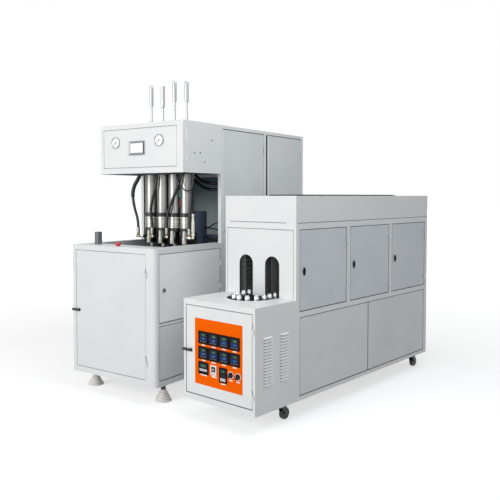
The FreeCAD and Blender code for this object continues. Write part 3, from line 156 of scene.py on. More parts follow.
def set_shader(shader, **values):
    """Sets constants straight on the shader's own sockets, named with underscores for spaces."""
    for name, value in values.items():
        shader.inputs[name.replace("_", " ")].default_value = value


def raise_skin(tree, shader, pattern, strength, height):
    """Lets a pattern stand a little proud of the surface."""
    bump = add_node(tree, "ShaderNodeBump", {"Height": pattern, "Strength": strength, "Distance": height})
    tree.links.new(bump.outputs[0], shader.inputs["Normal"])


def vary_shine(tree, shader, pattern, smooth, rough):
    """Lets the roughness wander between two values with a pattern."""
    shine = add_node(tree, "ShaderNodeMapRange", {"Value": pattern, "From Min": 0.3, "From Max": 0.7,
        "To Min": smooth, "To Max": rough})
    tree.links.new(shine.outputs[0], shader.inputs["Roughness"])


def coat(piece, material):
    """Gives a piece or a CAD node its one finish."""
    piece.data.materials.clear()
    piece.data.materials.append(material)


def coat_nodes(material, *names):
    """Gives CAD nodes that stay in sight their finish."""
    for name in names:
        coat(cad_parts[name], material)


def powder_coat(name, colour, cloud_colour, roughness):
    """Baked powder coat: a half-gloss film with orange peel, and faint clouds where it lies thicker.

    Real orange peel is 1 to 2 mm across; it is drawn at 5 mm so that it still breaks up reflections here."""
    peel_mm, cloud_mm = 5, 350
    made, tree, shader, where = finish(name)
    clouds = add_node(tree, "ShaderNodeTexNoise", {"Vector": where, "Scale": 1000 / cloud_mm, "Detail": 3.0,
        "Roughness": 0.55})
    share = add_node(tree, "ShaderNodeMapRange", {"Value": clouds.outputs["Fac"], "From Min": 0.35,
        "From Max": 0.68})
    tint = add_node(tree, "ShaderNodeMix", {0: share.outputs[0], 6: linear(colour), 7: linear(cloud_colour)},
        data_type="RGBA")
    tree.links.new(tint.outputs[2], shader.inputs["Base Color"])
    vary_shine(tree, shader, clouds.outputs["Fac"], roughness - 0.05, roughness + 0.07)
    peel = add_node(tree, "ShaderNodeTexNoise", {"Vector": where, "Scale": 1000 / peel_mm, "Detail": 1.0})
    raise_skin(tree, shader, peel.outputs["Fac"], 0.10, 0.0006)
    set_shader(shader, IOR=1.5)
    return made


# Light grey coat: soft, wide highlights on flat sheet.
casing_coat = powder_coat("powder_coat_light_grey", "#E4E6E5", "#DFE2E2", 0.42)
coat_nodes(casing_coat, "head_casing", "head_front_panel", "rear_cabinet", "oven_casing", "control_cabinet",
    "slot_front_panel")
# The base's batch: a shade deeper and a little flatter.
base_coat = powder_coat("powder_coat_base_grey", "#DCDFDE", "#D7DADA", 0.44)
coat_nodes(base_coat, "base_cabinet")


# ---- Doors and covers
# Pans of 2 mm sheet with returned edges, coated in neighbouring batches of the same grey.
# The doors swing on two pin hinges each; the lower covers are screwed to the frame's lips.

# Door coat: a shade darker than the housings, so that each door reads as a sheet of its own.
door_coat = powder_coat("powder_coat_door_grey", "#DADDDD", "#D4D8D8", 0.40)
coat_nodes(door_coat, "base_front_door", "rear_door_front", "rear_door_back", "lower_side_covers")
coat_nodes(casing_coat, "control_door")
# Painted light: a lighter copy of the door coat, on the side door in the aisle between the machines.
painted_light_door_coat = powder_coat("powder_coat_painted_light_grey", "#F2F3F3", "#EDEFEF", 0.40)
coat_nodes(painted_light_door_coat, "base_side_door")
# Cool coat: the oven's doors lean to blue, and are slightly glossier.
cool_coat = powder_coat("powder_coat_cool_grey", "#D0D5D9", "#CAD0D5", 0.38)
coat_nodes(cool_coat, "oven_door_1", "oven_door_2", "oven_door_3")


# ---- Table, post and stop button
# A coated steel table over the mould well, with a grey steel post for the guard. The red mushroom button is
# moulded, and screwed into the table's front rim.

# Table coat: the smoothest of the coats, wiped often.
table_coat = powder_coat("powder_coat_table", "#DDE0DF", "#D5D9D9", 0.36)
coat_nodes(table_coat, "table_top")
# Post coat: a plain dark grey.
post_coat = powder_coat("powder_coat_post_grey", "#6E6F72", "#67696C", 0.45)
coat_nodes(post_coat, "table_post")


def moulded_plastic(name, colour, roughness, grain_mm=1.2, **more):
    """Injection-moulded plastic: a spark-eroded grain breaks the sheen, and handled places shine more.

    Handled patches lie about 45 mm apart, 22 to the metre. Real grain is finer than it is drawn."""
    made, tree, shader, where = finish(name)
    grain = add_node(tree, "ShaderNodeTexNoise", {"Vector": where, "Scale": 1000 / grain_mm, "Detail": 2.0})
    raise_skin(tree, shader, grain.outputs["Fac"], 0.12, 0.0003)
    handled = add_node(tree, "ShaderNodeTexNoise", {"Vector": where, "Scale": 22.0, "Detail": 2.0})
    vary_shine(tree, shader, handled.outputs["Fac"], roughness - 0.06, roughness + 0.08)
    set_shader(shader, Base_Color=linear(colour), IOR=1.5, **more)
    return made


# Red ABS: a saturated cap with a clear highlight.
red_plastic = moulded_plastic("moulded_red_abs", "#C8102A", 0.30)
coat_nodes(red_plastic, "stop_button")


# ---- Levelling feet
# Four ridged pads of light grey nylon, each on a phosphated stem with a 4 mm thread, screwed into the base's
# floor. Sizes on the press are read off it: x from its right edge, y from its front, z from the floor.

press = Matrix.Translation((0.071, -0.145, 0))
foot_pad = [(0.057, 0.0), (0.057, 0.008), (0.053, 0.011), (0.041, 0.015), (0.041, 0.018), (0.0475, 0.0205),
    (0.0475, 0.0275), (0.0415, 0.030), (0.033, 0.0325), (0.033, 0.035), (0.039, 0.0375), (0.039, 0.0425),
    (0.034, 0.045), (0.0255, 0.0475), (0.0255, 0.050), (0.031, 0.0525), (0.031, 0.058), (0.027, 0.060),
    (0.0195, 0.0625), (0.0195, 0.065), (0.0235, 0.0675), (0.0235, 0.0745), (0.0215, 0.078), (0.017, 0.080)]
stem_radius, stem_foot, stem_top = 0.0170, 0.080, 0.127
thread_pitch, thread_depth = 0.004, 0.0014


def only(piece):
    """Leaves one piece selected and active."""
    bpy.ops.object.select_all(action="DESELECT")
    piece.select_set(True)
    bpy.context.view_layer.objects.active = piece


def turned(name, profile, sides=48, bore=0.0):
    """A piece turned about its own axis: a circle drawn out through (radius, height) steps.

    With a bore, the outline goes on down the inside, and is closed at the bottom."""
    radius, height = profile[0]
    steps = list(profile[1:])
    if bore:
        steps += [(bore, profile[-1][1]), (bore, height)]
    bpy.ops.mesh.primitive_circle_add(vertices=sides, radius=radius, location=(0, 0, 0),
        fill_type="NOTHING" if bore else "NGON")
    piece = bpy.context.object
    piece.name = name
    bpy.ops.object.mode_set(mode="EDIT")
    bpy.ops.mesh.select_mode(type="VERT")
    bpy.ops.mesh.select_all(action="SELECT")
    bpy.ops.transform.translate(value=(0, 0, height))
    for wider, higher in steps:
        bpy.ops.mesh.extrude_region_move(
            TRANSFORM_OT_translate={"value": (0, 0, higher - height), "orient_type": "GLOBAL"})
        grow = wider / radius
        bpy.ops.transform.resize(value=(grow, grow, 1), center_override=(0, 0, higher))
        radius, height = wider, higher
    if bore:
        bpy.ops.mesh.select_all(action="DESELECT")
        bpy.ops.mesh.select_non_manifold()
        bpy.ops.mesh.bridge_edge_loops()
    bpy.ops.mesh.select_all(action="SELECT")
    bpy.ops.mesh.normals_make_consistent(inside=False)
    bpy.ops.object.mode_set(mode="OBJECT")
    return piece


def another(piece, name):
    """A second piece of the same shape, with its own mesh."""
    made = piece.copy()
    made.data = piece.data.copy()
    made.name = name
    bpy.context.scene.collection.objects.link(made)
    return made


def at(x, y, z=0.0):
    """Place at a point, upright."""
    return Matrix.Translation((x, y, z))


def settle(piece, place, material, body="machine", stands_for=None):
    """Puts a finished piece in its place, coats it, and fixes it to the body that carries it."""
    only(piece)
    bpy.ops.object.shade_smooth_by_angle(angle=math.radians(32))
    piece.matrix_basis = place @ piece.matrix_basis
    bpy.ops.object.transform_apply(location=True, rotation=True, scale=True)
    coat(piece, material)
    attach(piece, body)
    if stands_for:
        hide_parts(stands_for)


def settle_each(pattern, name, places, material, stands_for=None):
    """Settles a numbered copy of a pattern at each place; the first says which node they stand for."""
    for i, place in enumerate(places):
        settle(another(pattern, f"{name}_{i + 1}"), place, material,
            stands_for=None if i else stands_for)
    scrap(pattern)


def scrap(*patterns):
    """Takes away the patterns that pieces were copied from."""
    for pattern in patterns:
        bpy.data.objects.remove(pattern)


# Pale nylon: chalky, with no sharp highlight.
pad_nylon = moulded_plastic("moulded_pale_nylon", "#EAE6E3", 0.5)
# Phosphated steel: a dark grey crystal skin, matt and faintly mottled, so it isn't given as bare metal.
stem_steel = moulded_plastic("phosphated_stem_steel", "#5C5F62", 0.35, 3)
places = [press @ at(x, y) for x in (-0.071, -0.748) for y in (0.145, 1.745)]
settle_each(turned("pad", foot_pad), "foot_pad", places, pad_nylon, "levelling_feet")
thread = [(stem_radius - (thread_depth if i % 2 else 0), stem_foot + i * thread_pitch / 2) for i in range(24)]
settle_each(turned("stem", thread + [(stem_radius, stem_top)], 32), "foot_stem", places,
    stem_steel)


# ---- Latches, instrument housings and other black mouldings
# Glass-filled nylon, moulded black: turn latches and knobs that clamp through their doors, and the
# instruments' square bezels, clipped in from the front.

# Black nylon: a satin sheen on rounded edges.
black_plastic = moulded_plastic("moulded_black_nylon", "#17181A", 0.38)
coat_nodes(black_plastic, "base_front_latch", "control_latch", "selector_knob_left", "selector_knob_right")
# Matt black nylon: dead flat, so that it stays black facing the lamps; also painted shade behind the tower's
# slot.
matt_black_and_painted_shade = moulded_plastic("matt_black_nylon_and_painted_shade", "#08090A", 0.6, Specular_IOR_Level=0.1)
coat_nodes(matt_black_and_painted_shade, "oven_latch_1", "oven_latch_2", "oven_latch_3", "panel_instruments")


# ---- Metals of the clamp, the carrier and the rods
# Ground rods, zinc-plated plates, milled platens, a blackened clamp frame, an oiled chain on cut sprockets,
# and reflectors that heat has dulled. Each is screwed or pressed to what carries it.

def metal(name, colour, roughness, scratch_mm, scratch_depth=0.15, spots=0.05, metallic=1.0):
    """Bare or plated metal: fine upright polishing marks, and a little uneven tarnish in its shine.

    Tarnish spots lie about 70 mm apart, 14 to the metre. Marks are drawn coarser than real ones, to show."""
    made, tree, shader, where = finish(name)
    upright = add_node(tree, "ShaderNodeMapping", {"Vector": where, "Scale": (1.0, 1.0, 0.08)})
    marks = add_node(tree, "ShaderNodeTexNoise", {"Vector": upright.outputs[0], "Scale": 1000 / scratch_mm,
        "Detail": 3.0})
    raise_skin(tree, shader, marks.outputs["Fac"], scratch_depth, 0.0004)
    tarnish = add_node(tree, "ShaderNodeTexNoise", {"Vector": where, "Scale": 14.0, "Detail": 4.0})
    vary_shine(tree, shader, tarnish.outputs["Fac"], roughness - spots, roughness + spots)
    set_shader(shader, Base_Color=linear(colour), Metallic=metallic)
    return made


# Ground rod: a bright, narrow line of light down its length.
bright_steel = metal("ground_steel_rod", "#A9ABAC", 0.26, 12, 0.02)
coat_nodes(bright_steel, "stretch_rod_1", "stretch_rod_2", "stretch_rod_3", "stretch_rod_4")
# Zinc plate: a cool, slightly cloudy silver.
zinc = metal("zinc_plated_steel", "#A9ACAE", 0.34, 4)
coat_nodes(zinc, "blow_nozzles", "carrier_bed")
# Milled aluminium: pale, with close cutter marks.
aluminium = metal("milled_aluminium", "#B4B6B7", 0.38, 3)
coat_nodes(aluminium, "front_platen", "rear_platen")
# Blackened steel: dark, with dull edges to its reflections.
dark_steel = metal("blackened_clamp_steel", "#4A4C4F", 0.42, 5)
coat_nodes(dark_steel, "clamp_frame")
# Oiled chain steel: dark and wet-looking.
chain_steel = metal("oiled_chain_steel", "#55585A", 0.34, 3)
coat_nodes(chain_steel, "carrier_chain")
# Cut steel: mid grey teeth, worn bright in patches.
sprocket_steel = metal("cut_sprocket_steel", "#66686A", 0.40, 3)
coat_nodes(sprocket_steel, "front_sprocket", "rear_sprocket")
# Heat-dulled reflector: its polish has gone to a pale, greenish haze.
reflector = metal("heat_dulled_reflector", "#A4A9A5", 0.5, 6, metallic=0.15)
coat_nodes(reflector, "lamp_reflectors")
# Die-cast zinc: a small grey lock face with soft edges.
lock_zinc = metal("die_cast_zinc_lock", "#77797C", 0.38, 4)
coat_nodes(lock_zinc, "base_side_latch")


# ---- Door hinges
# Lift-off hinges with bright plated barrels, two on each door; those on the fronts are coated over. The lower
# barrel is welded to the frame and the upper one to the door, so that each rides with its own part.

oven = at(0.913, -0.216) @ Matrix.Rotation(math.radians(-6.41), 4, "Z")
hinge_out, hinge_half, hinge_gap = 0.0062, 0.030, 0.0003
# Bright plating: small upright glints along the doors' edges.
barrel_steel = metal("bright_plated_barrel", "#F2F3F4", 0.22, 4, 0.03)


def on_front(x, z, y=0.0):
    """Place on a front face: across, up, and outwards from it."""
    return Matrix(((1, 0, 0, x), (0, 0, -1, y), (0, 1, 0, z), (0, 0, 0, 1)))


def on_side(y, z, x=0.0):
    """Place on a right-hand face: backwards, up, and outwards from it."""
    return Matrix(((0, 0, 1, x), (1, 0, 0, y), (0, 1, 0, z), (0, 0, 0, 1)))


barrel = turned("hinge_barrel", [(0.0047, 0.0), (0.0055, 0.0012), (0.0055, hinge_half - 0.0012),
    (0.0047, hinge_half)], 16)
side_axes = [                        # door, machine, y of the axis, heights of the hinges' middles
    ("base_side_door", press, 0.69125, (0.721, 0.887)),
    ("rear_door_front", press, 1.26625, (1.24445, 1.77855)),
    ("rear_door_back", press, 1.85025, (1.24445, 1.77855)),
    ("oven_door_1", oven, 0.94725, (0.7579, 1.1121)),
    ("oven_door_2", oven, 1.51825, (0.7579, 1.1121)),
    ("oven_door_3", oven, 2.08925, (0.7579, 1.1121))]
front_axes = [                       # door, machine, x of the axis, heights of the hinges' middles
    ("base_front_door", press, -0.09075, (0.296, 0.884)),
    ("control_door", oven, -0.02075, (0.2451, 0.6329))]
axes = [(door, machine, (hinge_out, y, 0), heights, barrel_steel) for door, machine, y, heights in side_axes]
axes += [(door, machine, (x, -hinge_out, 0), heights, casing_coat)
    for door, machine, x, heights in front_axes]
for door, machine, axis_foot, heights, look in axes:
    for i, middle in enumerate(heights):
        place = machine @ at(*axis_foot)
        settle(another(barrel, f"{door}_hinge_low_{i + 1}"), place @ at(0, 0, middle - hinge_half),
            look)
        settle(another(barrel, f"{door}_hinge_high_{i + 1}"), place @ at(0, 0, middle + hinge_gap),
            look, door)
scrap(barrel)


# ---- Hood groove shade
# A dark strip in the groove under the oven's hood, along its front and its right side: painted shade, for the
# shade in the groove. It is one piece with a flat face.

joint_z, joint_half = 1.231, 0.0017
# Dark rubber, no highlight: the grilles' own black, and painted shade in the hood groove, seams and louvre
# slits.
rubber_and_painted_shade = moulded_plastic("dark_rubber_and_painted_shade", "#3A3D40", 0.6, 4)


def block(name, low, high, round_by, segments=2):
    """A solid block between two corners, with its edges eased."""
    low, high = Vector(low), Vector(high)
    bpy.ops.mesh.primitive_cube_add(size=1, location=(0, 0, 0))
    piece = bpy.context.object
    piece.name = name
    bpy.ops.object.mode_set(mode="EDIT")
    bpy.ops.mesh.select_all(action="SELECT")
    bpy.ops.transform.resize(value=high - low, center_override=(0, 0, 0))
    bpy.ops.transform.translate(value=(low + high) / 2)
    if round_by:
        bpy.ops.mesh.bevel(offset=round_by, segments=segments, affect="EDGES")
    bpy.ops.object.mode_set(mode="OBJECT")
    return piece


def joined(name, parts):
    """Several like parts made one piece."""
    bpy.context.view_layer.update()
    bpy.ops.object.select_all(action="DESELECT")
    for part in parts:
        part.select_set(True)
    bpy.context.view_layer.objects.active = parts[0]
    bpy.ops.object.join()
    parts[0].name = name
    return parts[0]


groove_shade_pieces = [
    block("strip", (-0.560, 0.3842, joint_z - joint_half), (-0.077, 0.3856, joint_z + joint_half), 0.0003),
    block("strip", (-0.0006, 0.405, joint_z - joint_half), (0.0006, 2.133, joint_z + joint_half), 0.0003)]
settle(joined("hood_groove_painted_shade", groove_shade_pieces), oven, rubber_and_painted_shade)


# ---- Seam shade strips
# Thin dark strips standing just proud of the frame round each door and cover: painted shade, for the shade in
# the seams. The tower's doors have them along their tops only.

seam_shade_over, seam_shade_side, seam_shade_clear, seam_shade_proud, seam_shade_deep = 0.0034, 0.0020, 0.0004, 0.0005, -0.0015
press_side, oven_side = press @ on_side(0, 0), oven @ on_side(0, 0)
rims = [                             # name, face, near and far edge, low and high edge
    ("base_side_door", press_side, 0.036, 0.690, 0.555, 1.011),
    ("base_side_cover", press_side, 0.036, 0.690, 0.170, 0.530),
    ("rear_door_front", press_side, 0.722, 1.265, 1.130, 1.893),
    ("rear_door_back", press_side, 1.330, 1.849, 1.130, 1.893),
    ("oven_door_1", oven_side, 0.424, 0.946, 0.682, 1.188),
    ("oven_door_2", oven_side, 0.995, 1.517, 0.682, 1.188),
    ("oven_door_3", oven_side, 1.566, 2.088, 0.682, 1.188),
    ("oven_cover_1", oven_side, 0.427, 1.2285, 0.152, 0.641),
    ("oven_cover_2", oven_side, 1.2335, 2.081, 0.152, 0.641),
    ("control_door", oven @ on_front(0, 0), -0.577, -0.022, 0.162, 0.716),
    ("slot_panel", oven @ on_front(0, 0, 0.385), -0.580, -0.024, 0.760, 1.186)]
for name, face, near, far, low, high in rims:
    runs = [(near - seam_shade_over, high + seam_shade_clear, far + seam_shade_over, high + seam_shade_over)]
    if not name.startswith("rear_door"):
        runs += [(near - seam_shade_side, low, near - seam_shade_clear, high),
            (far + seam_shade_clear, low, far + seam_shade_side, high)]
        if name != "slot_panel":
            runs.append((near - seam_shade_over, low - seam_shade_over, far + seam_shade_over, low - seam_shade_clear))
    lengths = [block("length", (left, foot, seam_shade_deep), (right, top, seam_shade_proud), 0.0003, 1)
        for left, foot, right, top in runs]
    settle(joined(f"{name}_seam_painted_shade", lengths), face, rubber_and_painted_shade)


# ---- Slot shade and door lips
# A matt black strip behind the cable slot between the tower's doors is painted shade in the slot. Each tower
# door has a folded lip along its near edge, coated lighter as a painted highlight.

slot_shade = block("slot_painted_shade", (1.301, 1.133, -0.0046), (1.323, 1.893, -0.0032), 0.0002, 1)
settle(slot_shade, press_side, matt_black_and_painted_shade)
# Painted highlight: a lighter, glossier coat on each lip, for the light that its edge catches.
lip_painted_highlight_coat = powder_coat("powder_coat_painted_highlight_lip", "#FBFCFC", "#F6F7F7", 0.30)
for door, near in (("rear_door_front", 0.722), ("rear_door_back", 1.330)):
    lip = block(f"{door}_lip", (near + 0.0005, 1.131, -0.0010), (near + 0.0085, 1.892, 0.0005), 0.0003, 1)
    settle(lip, press_side, lip_painted_highlight_coat, door)


# ---- Louvres
# Two columns of hoods, pressed out of the control cabinet's own side sheet, in a lighter coat as painted
# highlight.
# Each stands over a slit, shown as a dark strip of painted shade.

louvre_columns = [(0.076, 0.154), (0.229, 0.307)]
louvre_bottom, louvre_pitch, louvre_rows = 0.285, 0.018375, 16
hood_out, hood_rise, slit_half = 0.0110, 0.0105, 0.0025
hood_narrows, hood_thins = 0.86, 0.1         # what is left of its length and height at its outer edge


def pick_faces(piece, test):
    """Opens a piece in edit mode with only the faces selected whose middle and normal pass the test."""
    only(piece)
    bpy.ops.object.mode_set(mode="EDIT")
    bpy.ops.mesh.select_mode(type="FACE")
    bpy.ops.mesh.select_all(action="DESELECT")
    shape = bmesh.from_edit_mesh(piece.data)
    for face in shape.faces:
        face.select_set(test(face.calc_center_median(), face.normal))
    shape.select_flush_mode()
    bmesh.update_edit_mesh(piece.data)


hoods, slit_shades = [], []
for near, far in louvre_columns:
    for i in range(louvre_rows):
        z = louvre_bottom + i * louvre_pitch
        hood = block("hood", (-0.001, near, z + slit_half), (hood_out, far, z + slit_half + hood_rise), 0)
        pick_faces(hood, lambda middle, normal: normal.x > 0.99)
        bpy.ops.transform.resize(value=(1, hood_narrows, hood_thins),
            center_override=(hood_out, (near + far) / 2, z + slit_half))
        bpy.ops.object.mode_set(mode="OBJECT")
        hoods.append(hood)
        slit_shades.append(block("slit", (-0.001, near + 0.002, z - 0.0030),
            (0.0004, far - 0.002, z + slit_half), 0))
# Painted highlight: a lighter coat on the hoods, for the light that falls on their sloped tops.
hood_painted_highlight_coat = powder_coat("powder_coat_painted_highlight_hood", "#FBFCFC", "#F6F7F7", 0.30)
settle(joined("louvre_hoods", hoods), oven, hood_painted_highlight_coat)
settle(joined("louvre_slit_painted_shade", slit_shades), oven, rubber_and_painted_shade)


# ---- Exhaust grilles
# Three flat black grilles screwed down on the oven's top, over the lamps: a frame sheet with 15 cross bars.

grille_spans = [(0.60, 0.98), (1.08, 1.46), (1.56, 1.94)]
bar_count, bar_half, grille_margin = 15, 0.007, 0.020
bars = []
for near, far in grille_spans:
    bars.append(block("grille", (-0.420, near, 1.3995), (-0.180, far, 1.4030), 0.0005, 1))
    for i in range(bar_count):
        y = near + grille_margin + i * (far - near - 2 * grille_margin) / (bar_count - 1)
        bars.append(block("bar", (-0.405, y - bar_half, 1.4015), (-0.195, y + bar_half, 1.4085), 0.0010, 1))
settle(joined("exhaust_grilles", bars), oven, rubber_and_painted_shade)


# ---- Station column
# A box section welded up from 8 mm plate, open at the back and coated dark blue. It is bolted to a cross beam
# that is welded between the cabinet's sides.

# Navy coat: deep and even, with a wide faint highlight.
navy_coat = powder_coat("powder_coat_navy", "#515C71", "#4A5568", 0.42)
column_wall = 0.008


def hollow(piece, direction, wall, depth):
    """Sinks the flat face that looks in one direction, leaving a wall round it."""
    direction = Vector(direction)
    reach = max(Vector(corner).dot(direction) for corner in piece.bound_box)
    pick_faces(piece, lambda middle, normal: normal.dot(direction) > 0.99
        and middle.dot(direction) > reach - 0.0001)
    bpy.ops.mesh.inset(thickness=wall, depth=0)
    bpy.ops.mesh.extrude_region_move(TRANSFORM_OT_translate={"value": -direction * depth,
        "orient_type": "GLOBAL"})
    bpy.ops.object.mode_set(mode="OBJECT")


column = block("station_column", (-0.617, 0.652, 1.003), (-0.206, 0.790, 1.283), 0.002)
hollow(column, (0, 1, 0), column_wall, 0.128)
settle(column, press, navy_coat, stands_for="station_bracket")
beam = block("column_cross_beam", (-0.816, 0.790, 1.051), (-0.003, 0.840, 1.101), 0.003)
settle(beam, press, navy_coat)


# ---- Blow blocks
# Black anodised blocks bolted to the column's front, one to a station, each with a round flange on top that
# carries the seal cylinder. Four cap screws hold each block, two show at its front.

station_x, station_y = [-0.5895, -0.4705, -0.3515, -0.2325], 0.589
block_half, block_front, block_back = 0.042, 0.548, 0.652
block_bottom, block_top, flange_top = 1.040, 1.132, 1.158
flange_radius = 0.056
# Black anodising: a thin hard skin, satin and even.
anodised = moulded_plastic("black_anodised_aluminium", "#1B1C1F", 0.34, 2)
# Plated cap screws: small bright rings.
screw_steel = metal("plated_cap_screw", "#8C8E90", 0.3, 2)
flange = turned("blow_flange", [(flange_radius - 0.001, 0.0), (flange_radius, 0.001), (flange_radius, 0.0105),
    (flange_radius - 0.0015, 0.0115), (flange_radius - 0.0015, 0.0145), (flange_radius, 0.0155),
    (flange_radius, 0.0245), (flange_radius - 0.0015, 0.026)], 64)
cap_screw = turned("cap_screw", [(0.0045, -0.001), (0.0045, 0.0036), (0.0039, 0.0042), (0.0024, 0.0042),
    (0.0022, 0.0015)], 20)


def stations(height):
    """Places on the four stations' axes, at one height."""
    return [press @ at(x, station_y, height) for x in station_x]


settle_each(flange, "blow_flange", stations(block_top), anodised)
for i, x in enumerate(station_x):
    settle(block(f"blow_block_{i + 1}", (x - block_half, block_front, block_bottom),
        (x + block_half, block_back - 0.0004, block_top), 0.0025), press, anodised)
    for side, turn in (("left", -1), ("right", 1)):
        settle(another(cap_screw, f"block_screw_{i + 1}_{side}"),
            press @ on_front(x + turn * (block_half - 0.010), block_top - 0.012, block_front),
            screw_steel)
scrap(cap_screw)


# ---- Seal cylinders and stretch cylinders
# A short nickelled cylinder sits on each flange. A black split clamp ring joins it to the long chromed
# cylinder of the stretch rod, which runs up into the head.

seal_top, tube_top, cap_top = 1.241, 1.700, 1.722
ring_radius, tube_radius, seal_bore, tube_bore = 0.058, 0.050, 0.0083, 0.0092
# Nickel plate: warm silver, with soft vertical bands of light.
nickel = metal("nickelled_cylinder", "#9C9C97", 0.30, 6, 0.04)
# Hard chrome: the same bands, cooler and deeper.
chrome = metal("hard_chrome_plate", "#8E8E8C", 0.34, 8, 0.03)
seal = turned("seal_cylinder", [(0.0555, 0.0), (flange_radius, 0.0006), (flange_radius, 0.011),
    (0.0535, 0.0125), (0.0535, 0.0165), (0.0548, 0.018), (0.0548, 0.030), (0.0532, 0.031), (0.0532, 0.033),
    (0.0548, 0.034), (0.0548, 0.062), (0.0535, 0.0635), (0.0535, 0.067), (flange_radius, 0.0685),
    (flange_radius, 0.0825), (0.0555, 0.083)], 64, seal_bore)
clamp_ring = turned("clamp_ring", [(ring_radius - 0.001, 0.0), (ring_radius, 0.001), (ring_radius, 0.013),
    (ring_radius - 0.001, 0.0142), (ring_radius - 0.001, 0.0158), (ring_radius, 0.017), (ring_radius, 0.029),
    (ring_radius - 0.001, 0.030)], 64, tube_radius - 0.001)
tube = turned("stretch_tube", [(tube_radius - 0.0005, 0.0), (tube_radius - 0.0005, 0.030),
    (tube_radius, 0.0305), (tube_radius, tube_top - seal_top), (0.056, tube_top - seal_top),
    (0.056, cap_top - seal_top)], 64, tube_bore)
settle_each(seal, "seal_cylinder", stations(flange_top), nickel, "seal_cylinders")
settle_each(clamp_ring, "clamp_ring", stations(seal_top), black_plastic)
settle_each(tube, "stretch_tube", stations(seal_top), chrome, "stretch_cylinders")


# ---- Air fittings
# Plastic silencers, one to a block, and the nickelled ports and couplings that the hoses end in, with
# hexagons and stubs of bare brass. All are screwed into the blocks.

fitting_y, fitting_back, silencer_over = 0.516, block_front - 0.0002, 0.033
hose_end_x = [-0.6695, -0.521, -0.3715, -0.1495]
port_low, port_high, coupling_high = 1.078, 1.098, 1.158
# Ivory plastic: warm, with a soft sheen.
pale_plastic = moulded_plastic("moulded_ivory_plastic", "#E4E1D6", 0.32)
# Turned brass: dull yellow, darkened in the hand.
brass = metal("turned_brass", "#9C8C66", 0.32, 4, 0.05)
silencer = turned("silencer", [(0.0135, 0.0), (0.015, 0.0015), (0.015, 0.010), (0.0138, 0.0115),
    (0.0138, 0.013), (0.015, 0.0145), (0.015, 0.024), (0.0138, 0.0255), (0.0138, 0.027), (0.015, 0.0285),
    (0.015, 0.039), (0.011, 0.052), (0.011, 0.089), (0.0095, 0.094), (0.006, 0.095)], 32)
stub = turned("silencer_stub", [(0.007, 0.0), (0.007, 0.014), (0.0105, 0.0145), (0.0105, 0.024),
    (0.0085, 0.0245), (0.0085, 0.0318)], 24)
hexagon = turned("coupling_hexagon", [(0.0128, 0.0), (0.014, 0.0012), (0.014, 0.0158), (0.0128, 0.017)], 6)
ferrule = turned("coupling_ferrule", [(0.0125, 0.0), (0.0138, 0.001), (0.0138, 0.010), (0.0126, 0.0112),
    (0.0126, 0.0132), (0.0138, 0.0144), (0.0138, 0.024), (0.0126, 0.0252), (0.0126, 0.0272), (0.0138, 0.0284),
    (0.0138, 0.042), (0.0125, 0.0425)], 32, 0.0108)
settle_each(silencer, "silencer", [press @ at(x + silencer_over, fitting_y, 1.043) for x in station_x],
    pale_plastic, "air_fittings")
settle_each(stub, "silencer_stub",
    [press @ on_front(x + silencer_over, 1.061, fitting_back) for x in station_x], brass)
settle_each(hexagon, "coupling_hexagon", [press @ at(x, fitting_y, port_high - 0.0005) for x in hose_end_x],
    brass)
settle_each(ferrule, "coupling_ferrule",
    [press @ at(x, fitting_y, coupling_high - 0.0425) for x in hose_end_x], nickel)
ports = [(-0.6855, -0.6135, fitting_back), (-0.537, -0.505, fitting_back), (-0.3875, -0.3555, fitting_back),
    (-0.1995, -0.1335, 0.525)]
for i, (left, right, back) in enumerate(ports):
    settle(block(f"hose_port_{i + 1}", (left, 0.507, port_low), (right, back, port_high), 0.002), press,
        nickel)
settle(block("tall_silencer_elbow", (-0.136, 0.509, 1.083), (-0.1035, 0.523, 1.097), 0.003), press,
    nickel)
tall_silencer = turned("tall_silencer", [(0.0095, 0.0), (0.0095, 0.008), (0.0112, 0.010), (0.0112, 0.030),
    (0.0100, 0.032), (0.0100, 0.036), (0.0115, 0.038), (0.0115, 0.110), (0.0100, 0.120), (0.0082, 0.124),
    (0.0082, 0.150), (0.0095, 0.152), (0.0095, 0.170), (0.0070, 0.173)], 32)
settle(tall_silencer, press @ at(-0.1135, fitting_y, 1.096), pale_plastic)


# ---- Reed switches
# Two small moulded switches, one teal and one red, that feel the piston inside its chromed tube. A thin
# stainless band round the tube holds each. They are coloured plastic with a soft highlight.

band = turned("switch_band", [(tube_radius + 0.0006, 0.0), (tube_radius + 0.0006, 0.008)], 64, tube_radius)
tube_foot = press @ at(station_x[3], station_y, 0)
for name, bearing, low, high, colour in (
        ("switch_teal", 234, 1.390, 1.444, "#4FA79B"), ("switch_red", 245, 1.318, 1.368, "#96544C")):
    switch = block(name, (tube_radius + 0.0002, -0.005, low), (tube_radius + 0.0095, 0.005, high), 0.0015)
    switch.matrix_basis = Matrix.Rotation(math.radians(bearing), 4, "Z")
    settle(switch, tube_foot, moulded_plastic(f"moulded_{name}", colour, 0.35))
    settle(another(band, f"{name}_band"), tube_foot @ at(0, 0, low + 0.012), chrome)
scrap(band)


# ---- Air hoses and cables
# Braided rubber air hoses hang from the head to the couplings, with one thin glossy pilot line. Behind the
# column two hoses and three cables run back to the partition. Lengths are those of the tubes in the frame.

